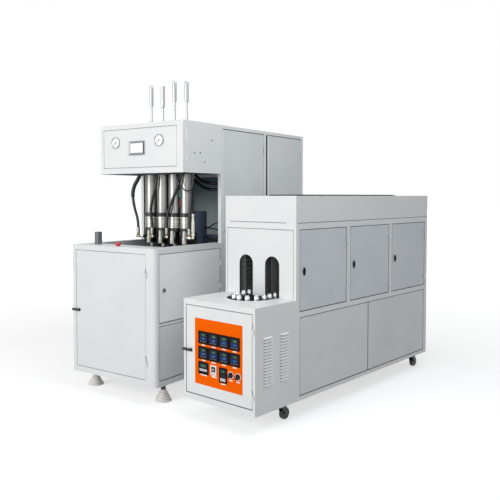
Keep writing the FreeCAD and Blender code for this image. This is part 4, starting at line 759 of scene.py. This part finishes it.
hose_radius, rear_radius, thin_radius = 0.011, 0.0115, 0.005
hoses = [                            # name, radius, length, lay, points down its route in the press
    ("hose_left", hose_radius, 0.5278, "hanging", [
        (-0.600, 0.516, 1.640), (-0.640, 0.516, 1.560), (-0.735, 0.516, 1.450), (-0.712, 0.516, 1.310),
        (-0.6695, 0.516, 1.215), (-0.6695, 0.516, 1.158)]),
    ("hose_second", hose_radius, 0.5041, "hanging", [
        (-0.463, 0.516, 1.650), (-0.4665, 0.516, 1.510), (-0.520, 0.516, 1.370), (-0.541, 0.516, 1.268),
        (-0.521, 0.516, 1.205), (-0.521, 0.516, 1.158)]),
    ("hose_third", hose_radius, 0.5649, "hanging", [
        (-0.205, 0.516, 1.690), (-0.211, 0.516, 1.590), (-0.262, 0.516, 1.465), (-0.325, 0.516, 1.345),
        (-0.361, 0.516, 1.262), (-0.3715, 0.516, 1.208), (-0.3715, 0.516, 1.158)]),
    ("hose_right", hose_radius, 0.4681, "hanging", [
        (-0.124, 0.516, 1.625), (-0.128, 0.516, 1.480), (-0.134, 0.516, 1.335), (-0.1495, 0.516, 1.228),
        (-0.1495, 0.516, 1.158)]),
    ("pilot_line", thin_radius, 0.3833, "hanging", [
        (-0.264, 0.496, 1.600), (-0.250, 0.496, 1.518), (-0.196, 0.496, 1.450), (-0.146, 0.496, 1.430),
        (-0.104, 0.496, 1.450), (-0.092, 0.496, 1.512), (-0.090, 0.496, 1.570)]),
    ("rear_hose_high", rear_radius, 0.8499, "hanging", [
        (-0.345, 0.760, 1.655), (-0.315, 0.760, 1.580), (-0.262, 0.760, 1.532), (-0.205, 0.760, 1.505),
        (-0.143, 0.760, 1.495), (-0.1068, 0.7717, 1.495), (-0.0761, 0.7941, 1.495), (-0.0537, 0.8248, 1.495),
        (-0.042, 0.861, 1.495), (-0.044, 0.932, 1.497), (-0.041, 1.062, 1.500), (-0.044, 1.174, 1.501),
        (-0.044, 1.284, 1.501)]),
    ("rear_hose_low", rear_radius, 0.9135, "hanging", [
        (-0.430, 0.775, 1.650), (-0.385, 0.775, 1.575), (-0.310, 0.775, 1.508), (-0.240, 0.775, 1.470),
        (-0.194, 0.775, 1.454), (-0.155, 0.775, 1.447), (-0.1188, 0.7867, 1.447), (-0.0881, 0.8091, 1.447),
        (-0.0657, 0.8398, 1.447), (-0.054, 0.876, 1.447), (-0.057, 0.944, 1.448), (-0.054, 1.070, 1.451),
        (-0.057, 1.178, 1.450), (-0.057, 1.284, 1.450)]),
    ("cable_high", thin_radius, 0.6350, "loose", [
        (-0.206, 0.765, 1.156), (-0.1699, 0.765, 1.156), (-0.1277, 0.772, 1.184), (-0.0818, 0.792, 1.206),
        (-0.0577, 0.848, 1.212), (-0.0515, 0.945, 1.214), (-0.0556, 1.060, 1.211), (-0.0515, 1.175, 1.214),
        (-0.0515, 1.284, 1.214)]),
    ("cable_middle", thin_radius, 0.6013, "loose", [
        (-0.206, 0.783, 1.153), (-0.164, 0.783, 1.153), (-0.1217, 0.791, 1.146), (-0.0857, 0.818, 1.128),
        (-0.0657, 0.878, 1.120), (-0.0587, 0.980, 1.118), (-0.0618, 1.085, 1.121), (-0.0577, 1.188, 1.118),
        (-0.0577, 1.284, 1.118)]),
    ("cable_low", thin_radius, 0.6845, "loose", [
        (-0.206, 0.748, 1.090), (-0.171, 0.748, 1.090), (-0.136, 0.749, 1.069), (-0.1007, 0.754, 1.067),
        (-0.0777, 0.764, 1.092), (-0.0639, 0.786, 1.124), (-0.0618, 0.832, 1.143), (-0.0667, 0.918, 1.146),
        (-0.0626, 1.048, 1.143), (-0.0657, 1.170, 1.146), (-0.0657, 1.284, 1.146)])]
# The left hose wears a spiral wrap over the middle of its length, grooved between its turns.
wrap_radius, wrap_start, wrap_end, wrap_turns, wrap_groove = 0.0160, 0.155, 0.48, 16, 0.88


def rubber(name, colour, roughness, braid_mm):
    """Extruded over a braid: a shallow weave shows through, and worn places shine a little more.

    Worn places lie about 33 mm apart, 30 to the metre."""
    made, tree, shader, where = finish(name)
    weave = add_node(tree, "ShaderNodeTexNoise", {"Vector": where, "Scale": 1000 / braid_mm, "Detail": 1.0})
    raise_skin(tree, shader, weave.outputs["Fac"], 0.2, 0.0005)
    worn = add_node(tree, "ShaderNodeTexNoise", {"Vector": where, "Scale": 30.0, "Detail": 3.0})
    vary_shine(tree, shader, worn.outputs["Fac"], roughness - 0.06, roughness + 0.1)
    set_shader(shader, Base_Color=linear(colour), IOR=1.5)
    return made


# Hose rubber: near black, with a broken line of light down each bend.
hose_rubber = rubber("extruded_hose_rubber", "#17191D", 0.36, 3)
# Polyurethane: smooth, so its highlight is a sharp unbroken line.
line_plastic = rubber("glossy_polyurethane_line", "#22252A", 0.12, 30)
# Polyethylene wrap: waxy black.
wrap_plastic = rubber("spiral_wrap_polyethylene", "#1C2026", 0.28, 4)
for name, radius, length, lay, route in hoses:
    curve = bpy.data.curves.new(name, "CURVE")
    curve.dimensions = "3D"
    curve.bevel_depth = radius
    curve.bevel_resolution = 4
    spline = curve.splines.new("NURBS")
    spline.points.add(len(route) - 1)
    for point, spot in zip(spline.points, route):
        point.co = (*(press @ Vector(spot)), 1)
    spline.order_u = 3
    spline.use_endpoint_u = True
    spline.resolution_u = 8
    hose = bpy.data.objects.new(name, curve)
    bpy.context.scene.collection.objects.link(hose)
    coat(hose, line_plastic if name == "pilot_line" else hose_rubber)
    if name == "hose_left":
        wrap = another(hose, "hose_left_wrap")
        wrap.data.bevel_depth = wrap_radius
        wrap.data.bevel_factor_start, wrap.data.bevel_factor_end = wrap_start, wrap_end
        wrap.data.use_fill_caps = True
        wrap.data.splines[0].resolution_u = wrap_turns
        only(wrap)
        bpy.ops.object.convert(target="MESH")
        wrap = bpy.context.object
        around = 4 + 2 * curve.bevel_resolution
        points = [vertex.co.copy() for vertex in wrap.data.vertices]
        for first in range(around, len(points) // around * around, 2 * around):
            middle = sum(points[first:first + around], Vector()) / around
            for i in range(first, first + around):
                wrap.data.vertices[i].co = middle + (points[i] - middle) * wrap_groove
        settle(wrap, Matrix.Identity(4), wrap_plastic)
    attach(hose, "machine")
    if name == "hose_left":
        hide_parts("air_hoses")


# ---- Partition liner and grommets
# A grey-blue coated sheet lines the partition behind the stations, held by the rubber grommets that ring each
# hose and cable where it goes through. Its darkening towards the head is painted shade.

# Blue-grey coat: pale grey low down, it darkens to a dull blue towards the head, as painted shade under the
# head's overhang. The shade's edge wanders in drifts of 170 mm (6 to the metre).
liner_coat_with_painted_shade, tree, shader, where = finish("blue_grey_coat_with_painted_shade")
height = add_node(tree, "ShaderNodeSeparateXYZ", {0: where})
shade_edge_drift = add_node(tree, "ShaderNodeTexNoise", {"Vector": where, "Scale": 6.0, "Detail": 3.0})
wavy = add_node(tree, "ShaderNodeMath", {0: shade_edge_drift.outputs["Fac"], 1: 0.12, 2: height.outputs["Z"]},
    operation="MULTIPLY_ADD")
head_shade_share = add_node(tree, "ShaderNodeMapRange", {"Value": wavy.outputs[0], "From Min": 1.30, "From Max": 1.58})
tint = add_node(tree, "ShaderNodeMix", {0: head_shade_share.outputs[0], 6: linear("#B4BFC1"), 7: linear("#4E6475")},
    data_type="RGBA")
tree.links.new(tint.outputs[2], shader.inputs["Base Color"])
set_shader(shader, Roughness=0.5, IOR=1.5)
settle(block("partition_liner", (-0.812, 1.2833, 1.054), (-0.006, 1.28385, 1.560), 0.0002, 1), press,
    liner_coat_with_painted_shade)

for name, radius, length, lay, route in hoses:
    x, y, z = route[-1]
    if y > 1.0:
        grommet = turned(f"grommet_{name}", [(radius + 0.006, 0.0002), (radius + 0.0065, 0.0015),
            (radius + 0.005, 0.0035), (radius + 0.002, 0.0045)], 32, radius + 0.0003)
        settle(grommet, press @ on_front(x, z, y), hose_rubber)


# ---- Pressure gauges
# Round gauges clamped in the panel: a polished steel case and bezel, a white enamelled dial with printed
# ticks and numbers, and a brass pin that the grey needle turns on.

gauge_z, panel_y = 1.791, 0.278
scale_start, scale_step, scale_ticks, ticks_to_a_number = 225, 9, 31, 5
# Polished steel: a dark and bright ring round each dial.
gauge_steel = metal("polished_gauge_bezel", "#9A9C9F", 0.22, 4, 0.03)
# Enamel: clean white, slightly glossy.
enamel = moulded_plastic("white_dial_enamel", "#FAFBFB", 0.4, 4)
# Printing ink: flat charcoal on the enamel.
print_black = moulded_plastic("black_dial_print", "#3A3B3E", 0.6, 4)
# Needle enamel: mid grey, so that the fine needle isn't heavier than the print.
needle_grey = moulded_plastic("grey_needle_enamel", "#6A6C6F", 0.5, 4)


def lettering(text, height):
    """Printed figures, made a mesh."""
    bpy.ops.object.text_add(location=(0, 0, 0))
    figures = bpy.context.object
    figures.data.body = text
    figures.data.size = height
    figures.data.align_x = "CENTER"
    figures.data.align_y = "CENTER"
    figures.data.extrude = 0.00005
    only(figures)
    bpy.ops.object.convert(target="MESH")
    return bpy.context.object


case = turned("gauge_case", [(0.043, 0.0), (0.043, 0.0062), (0.0418, 0.0083), (0.0402, 0.009),
    (0.0388, 0.0085), (0.038, 0.0072), (0.038, 0.003), (0.0002, 0.003)], 64)
dial = turned("gauge_dial", [(0.0376, 0.0029), (0.0376, 0.0033), (0.0372, 0.0034), (0.0002, 0.0034)], 64)
pin = turned("needle_pin", [(0.0019, 0.0033), (0.0019, 0.0058), (0.0013, 0.0062)], 16)
marks = []
for i in range(scale_ticks):
    angle = math.radians(scale_start - i * scale_step)
    numbered = i % ticks_to_a_number == 0
    tick = block("tick", (0.0290 if numbered else 0.0318, -0.00035, 0.0033), (0.0352, 0.00035, 0.00348), 0)
    tick.matrix_basis = Matrix.Rotation(angle, 4, "Z")
    marks.append(tick)
    if numbered:
        number = lettering(str(i // ticks_to_a_number * 2), 0.0075)
        number.matrix_basis = at(0.0235 * math.cos(angle), 0.0235 * math.sin(angle), 0.0034)
        marks.append(number)
scale = joined("gauge_scale", marks)
for side, x in (("left", -0.657), ("right", -0.221)):
    place = press @ on_front(x, gauge_z, panel_y)
    settle(another(case, f"gauge_case_{side}"), place, gauge_steel,
        stands_for="pressure_gauges" if side == "left" else None)
    settle(another(dial, f"gauge_dial_{side}"), place, enamel)
    settle(another(pin, f"gauge_pin_{side}"), place, brass)
    settle(another(scale, f"gauge_scale_{side}"), place, print_black)
    coat_nodes(needle_grey, f"gauge_needle_{side}")
scrap(case, dial, pin, scale)


# ---- Operator's screen
# A silver moulded frame clipped into the panel, with a lit display sunk in it. Black membrane keys lie above
# and below the display and down the frame's right.

screen_wide, screen_high, screen_proud, screen_rim = 0.162, 0.106, 0.006, 0.019
keys_to_a_row = 6
# Silver plastic: light grey with a fine grain.
frame_plastic = moulded_plastic("moulded_silver_plastic", "#C6C8CB", 0.4)
# Membrane keys: flat black.
key_plastic = moulded_plastic("moulded_black_key", "#15161A", 0.5)
# Lit glass: smooth and pale, with a faint light of its own.
display_glass = moulded_plastic("lit_display_glass", "#E4E6E5", 0.12, 6, Emission_Color=linear("#FFFFFF"),
    Emission_Strength=0.25)


def screen_key(left, low, right, high):
    """A flat key on the screen's frame."""
    return block("key", (left, low, screen_proud - 0.0004), (right, high, screen_proud + 0.0008), 0.0003, 1)


place = press @ on_front(-0.520, 1.692, panel_y)
surround = block("screen_frame", (0, 0, 0), (screen_wide, screen_high, screen_proud), 0.0015)
hollow(surround, (0, 0, 1), screen_rim, 0.002)
settle(surround, place, frame_plastic, stands_for="touch_screen")
settle(block("screen_display", (0.0207, 0.0207, screen_proud - 0.0022),
    (screen_wide - 0.0207, screen_high - 0.0207, screen_proud - 0.001), 0.0004), place,
    display_glass)
keys = [screen_key(screen_wide - 0.0165, 0.006, screen_wide - 0.003, screen_high - 0.006),
    screen_key(0.003, 0.003, screen_wide - 0.020, 0.0065)]
key_pitch = (screen_wide - 0.036) / keys_to_a_row
for low, tall in ((0.0085, 0.0095), (screen_high - 0.0160, 0.0125)):
    for i in range(keys_to_a_row):
        left = 0.016 + i * key_pitch
        keys.append(screen_key(left + 0.0045, low, left + key_pitch - 0.0045, low + tall))
settle(joined("screen_keys", keys), place, key_plastic)


# ---- Fixings on the head's side
# The front panel hangs on two plated hinges whose knuckles show on the head's right side. Four blanked
# holes with black push-in plugs sit behind them.

# Satin plating: pale grey, with a soft upright glint.
knuckle_steel = metal("satin_plated_knuckle", "#D2D4D5", 0.3, 4, 0.03)
for i, (low, high) in enumerate(((1.770, 1.863), (1.640, 1.684))):
    knuckle = turned(f"head_hinge_{i + 1}", [(0.003, 0.0), (0.004, 0.001), (0.004, high - low - 0.001),
        (0.003, high - low)], 16)
    settle(knuckle, press @ at(0.0015, 0.312, low), knuckle_steel)
plug = turned("blanking_plug", [(0.0058, 0.0), (0.0058, 0.0008), (0.0046, 0.0016), (0.0012, 0.002)], 20)
plug_places = [(0.400, 1.701), (0.464, 1.704), (0.513, 1.640), (0.597, 1.800)]
settle_each(plug, "blanking_plug", [press @ on_side(y, z) for y, z in plug_places],
    black_plastic)


# ---- Painted shade under the head
# A thin charcoal sheet stuck under the head's floor: painted shade, for the shade that falls there.

# Painted shade: a dark matt sheet, so the head's shaded underside reads as one dark field.
underside_painted_shade = moulded_plastic("charcoal_painted_shade", "#2A2E33", 0.85, 4)
settle(block("head_underside_painted_shade_sheet", (-0.8155, 0.2815, 1.5604), (-0.0035, 0.6985, 1.5622), 0.0004, 1), press,
    underside_painted_shade)


# ---- Orange instrument field
# A polycarbonate film, printed orange on its back and stuck to the control door round the instruments.
# Small blank white captions sit under them. The two knobs' stems pass through it.

film_left, film_right, film_low, film_high = -0.497, -0.096, 0.232, 0.643
film_back, film_thickness, caption_front = 0.00002, 0.0002, 0.0003
controller_x, controller_z = [-0.461 + i * 0.0877 for i in range(4)], [0.488, 0.393]
knob_x, knob_z, stem_hole_radius = [-0.190, -0.132], 0.335, 0.0046
# Orange film: strong and flat; its fine texture scatters the lamps' light, so it doesn't pale.
orange_film = moulded_plastic("orange_polycarbonate_film", "#F66300", 0.6, 2, Specular_IOR_Level=0.03)
# White print: matt, a shade warmer than the housings.
caption_print = moulded_plastic("white_caption_print", "#F2F1EC", 0.5, 2)
door_face = oven @ on_front(0, 0)
film = block("instrument_field", (film_left, film_low, film_back), (film_right, film_high, film_thickness), 0)
for x in knob_x:
    cutter = turned("stem_cutter", [(stem_hole_radius, -0.01), (stem_hole_radius, 0.01)], 24)
    cutter.matrix_basis = at(x, knob_z, 0)
    only(film)
    opening = film.modifiers.new("stem_hole", "BOOLEAN")
    opening.operation = "DIFFERENCE"
    opening.object = cutter
    bpy.ops.object.modifier_apply(modifier="stem_hole")
    scrap(cutter)
settle(film, door_face, orange_film, "control_door")
plates = [(x + 0.024, z - 0.0115, x + 0.056, z - 0.0045) for z in controller_z for x in controller_x]
plates += [(x - 0.013, knob_z - 0.036, x + 0.013, knob_z - 0.028) for x in knob_x]
plates += [(-0.447, 0.2905, -0.392, 0.2980), (-0.350, 0.2940, -0.309, 0.3020),
    (-0.270, 0.2640, -0.234, 0.2715)]
captions = [block("caption", (left, low, film_thickness), (right, high, caption_front), 0)
    for left, low, right, high in plates]
settle(joined("blank_captions", captions), door_face, caption_print, "control_door")


# ---- Temperature controllers
# Eight panel controllers in black square housings, clipped into the door. Behind the clear front: an upper
# window with green figures, a lower one with blue figures, and four small grey keys.

face_out = 0.0045
# Smoked window: dark blue, barely glossy, so the figures stay readable.
window_glass = moulded_plastic("dark_blue_window", "#1A2733", 0.3, 6, Specular_IOR_Level=0.15)
# Backlit window: a faint blue light of its own.
lit_window = moulded_plastic("backlit_blue_window", "#0E2A62", 0.3, 6, Specular_IOR_Level=0.15,
    Emission_Color=linear("#1B5FD0"), Emission_Strength=0.04)
# Lit figures: they glow a little, and stay green or blue under the lamps.
green_digits = moulded_plastic("lit_green_digits", "#3A8F6E", 0.3, 6, Emission_Color=linear("#3FE08C"),
    Emission_Strength=0.14)
blue_digits = moulded_plastic("lit_blue_digits", "#4C93B8", 0.3, 6, Emission_Color=linear("#5FC4E8"),
    Emission_Strength=0.14)
# Grey keys: dull slate rubber-like caps.
key_grey = moulded_plastic("moulded_grey_key", "#4A5058", 0.45)


def inlay(left, low, right, high, proud=0.0006, ease=0.0003, segments=1):
    """A part let into an instrument's front."""
    return block("inlay", (left, low, face_out - 0.0003), (right, high, face_out + proud), ease, segments)


def shown(text, height, x, z):
    """Figures shown in an instrument's window."""
    figures = lettering(text, height)
    figures.matrix_basis = at(x, z, face_out + 0.0007)
    return figures


windows, lit, greens, blues, keys = [], [], [], [], []
for row, z in enumerate(controller_z):
    for column, x in enumerate(controller_x):
        degrees = 4 * column + 2 * row
        windows.append(inlay(x + 0.010, z + 0.043, x + 0.070, z + 0.068))
        lit.append(inlay(x + 0.010, z + 0.021, x + 0.070, z + 0.041))
        greens.append(shown(str(96 + degrees), 0.019, x + 0.042, z + 0.0545))
        blues.append(shown(str(98 + degrees), 0.014, x + 0.042, z + 0.0315))
        for left in (x + 0.0135 + i * 0.014 for i in range(4)):
            keys.append(inlay(left, z + 0.0105, left + 0.011, z + 0.018, 0.0008, 0.0004))
for name, parts, material in (
        ("controller_windows", windows, window_glass), ("controller_lit_windows", lit, lit_window),
        ("controller_green_digits", greens, green_digits), ("controller_blue_digits", blues, blue_digits),
        ("controller_keys", keys, key_grey)):
    settle(joined(name, parts), door_face, material, "control_door")


# ---- Timer, breaker and counter
# The lower row, clipped into the door too: a timer with a light key strip, a white breaker with a grey
# toggle in a black well, and a tall counter with two windows over a key strip.

# Light grey ABS: plain and satin.
strip_plastic = moulded_plastic("moulded_light_grey_abs", "#B9BDC0", 0.42)
# White ABS: slightly warm, satin.
white_plastic = moulded_plastic("moulded_white_abs", "#E9E9E5", 0.4)
dark = [inlay(-0.452, 0.338, -0.387, 0.367, ease=0.0004), inlay(-0.273, 0.333, -0.231, 0.358, ease=0.0004),
    inlay(-0.273, 0.311, -0.231, 0.328, ease=0.0004)]
light = [inlay(-0.453, 0.3185, -0.386, 0.333, 0.0010, 0.0005, 2),
    inlay(-0.274, 0.286, -0.230, 0.305, 0.0010, 0.0005, 2)]
surround = block("breaker_frame", (-0.3545, 0.3075, 0.0003), (-0.3045, 0.3705, 0.0078), 0.001)
hollow(surround, (0, 0, 1), 0.007, 0.003)
well = block("breaker_body", (-0.3455, 0.3285, 0.0046), (-0.3135, 0.3625, 0.0062), 0.0004)
toggle = block("breaker_toggle", (-0.3365, 0.340, 0.0055), (-0.3225, 0.350, 0.013), 0.0015)
for piece, material in (
        (joined("lower_windows", dark), window_glass), (joined("key_strips", light), strip_plastic),
        (joined("lower_digits", [shown("05.0", 0.020, -0.4195, 0.3525), shown("124", 0.017, -0.252, 0.3455)]),
         green_digits), (surround, white_plastic), (well, black_plastic), (toggle, strip_plastic)):
    settle(piece, door_face, material, "control_door")


# ---- Knob rings and pointers
# A white plate rings each selector knob on the door, and a white line is let into its grip, which turns
# with the knob.

knob_ring = turned("knob_ring", [(0.0225, film_thickness), (0.0225, 0.0012), (0.0219, 0.0018),
    (0.0190, 0.0018)], 48, 0.0184)
for side, x in zip(("left", "right"), knob_x):
    place = oven @ on_front(x, knob_z)
    settle(another(knob_ring, f"knob_ring_{side}"), place, white_plastic,
        "control_door")
    settle(block(f"knob_pointer_{side}", (-0.001, 0.0015, 0.0236), (0.001, 0.0125, 0.0242), 0.0002, 1), place,
        white_plastic, f"selector_knob_{side}")
scrap(knob_ring)


# ---- Preform holders in sight
# Each chain pin carries a turned holder; those in the front opening and behind the slots have bright
# anodised caps with a rounded top and a hole for the preform's mandrel.

carrier_x, carrier_y = -0.303, 0.307
chain_radius, chain_pitch, holders_seen = 0.1104, 0.05715, 7
cap_low, cap_radius = 0.749, 0.0167
holder_places = [(carrier_x - chain_radius * math.cos(math.radians(30 * i)),
    carrier_y - chain_radius * math.sin(math.radians(30 * i))) for i in range(6)]
for i in range(holders_seen):
    holder_places.append((carrier_x + chain_radius, carrier_y + i * chain_pitch))
    holder_places.append((carrier_x - chain_radius, carrier_y + (i + 1) * chain_pitch))
# Bright anodising: nearly white, with a crisp ring of light on each shoulder.
bright_anodised = metal("bright_anodised_aluminium", "#DADCDC", 0.3, 3, 0.08)
cap = turned("holder_cap", [(cap_radius - 0.001, -0.0003), (cap_radius, 0.0008), (cap_radius, 0.025),
    (cap_radius - 0.0016, 0.0285), (cap_radius - 0.0045, 0.0322), (0.0055, 0.0323), (0.0050, 0.0250)], 32)
settle_each(cap, "holder_cap", [oven @ at(x, y, cap_low) for x, y in holder_places],
    bright_anodised)


# ---- Casters
# Four swivel casters screwed under the oven: pressed forks coated black, and hard black wheels.

# Fork coat: thin, smooth and black.
fork_coat = moulded_plastic("black_fork_coat", "#141517", 0.3)
coat_nodes(fork_coat, *(f"caster_fork_{i}" for i in range(1, 5)))
# Hard rubber: black, polished by rolling.
wheel_rubber = moulded_plastic("hard_wheel_rubber", "#101113", 0.22, 4)
coat_nodes(wheel_rubber, *(f"caster_wheel_{i}" for i in range(1, 5)))


# ---- Heating lamps
# Quartz tubes with a white reflecting coat on their backs, clipped in eight rows to a lane.

# Quartz, switched off: smooth grey glass in a dark tunnel.
quartz = moulded_plastic("quartz_tube", "#6E6E6A", 0.15, 5)
coat_nodes(quartz, "heating_lamps")
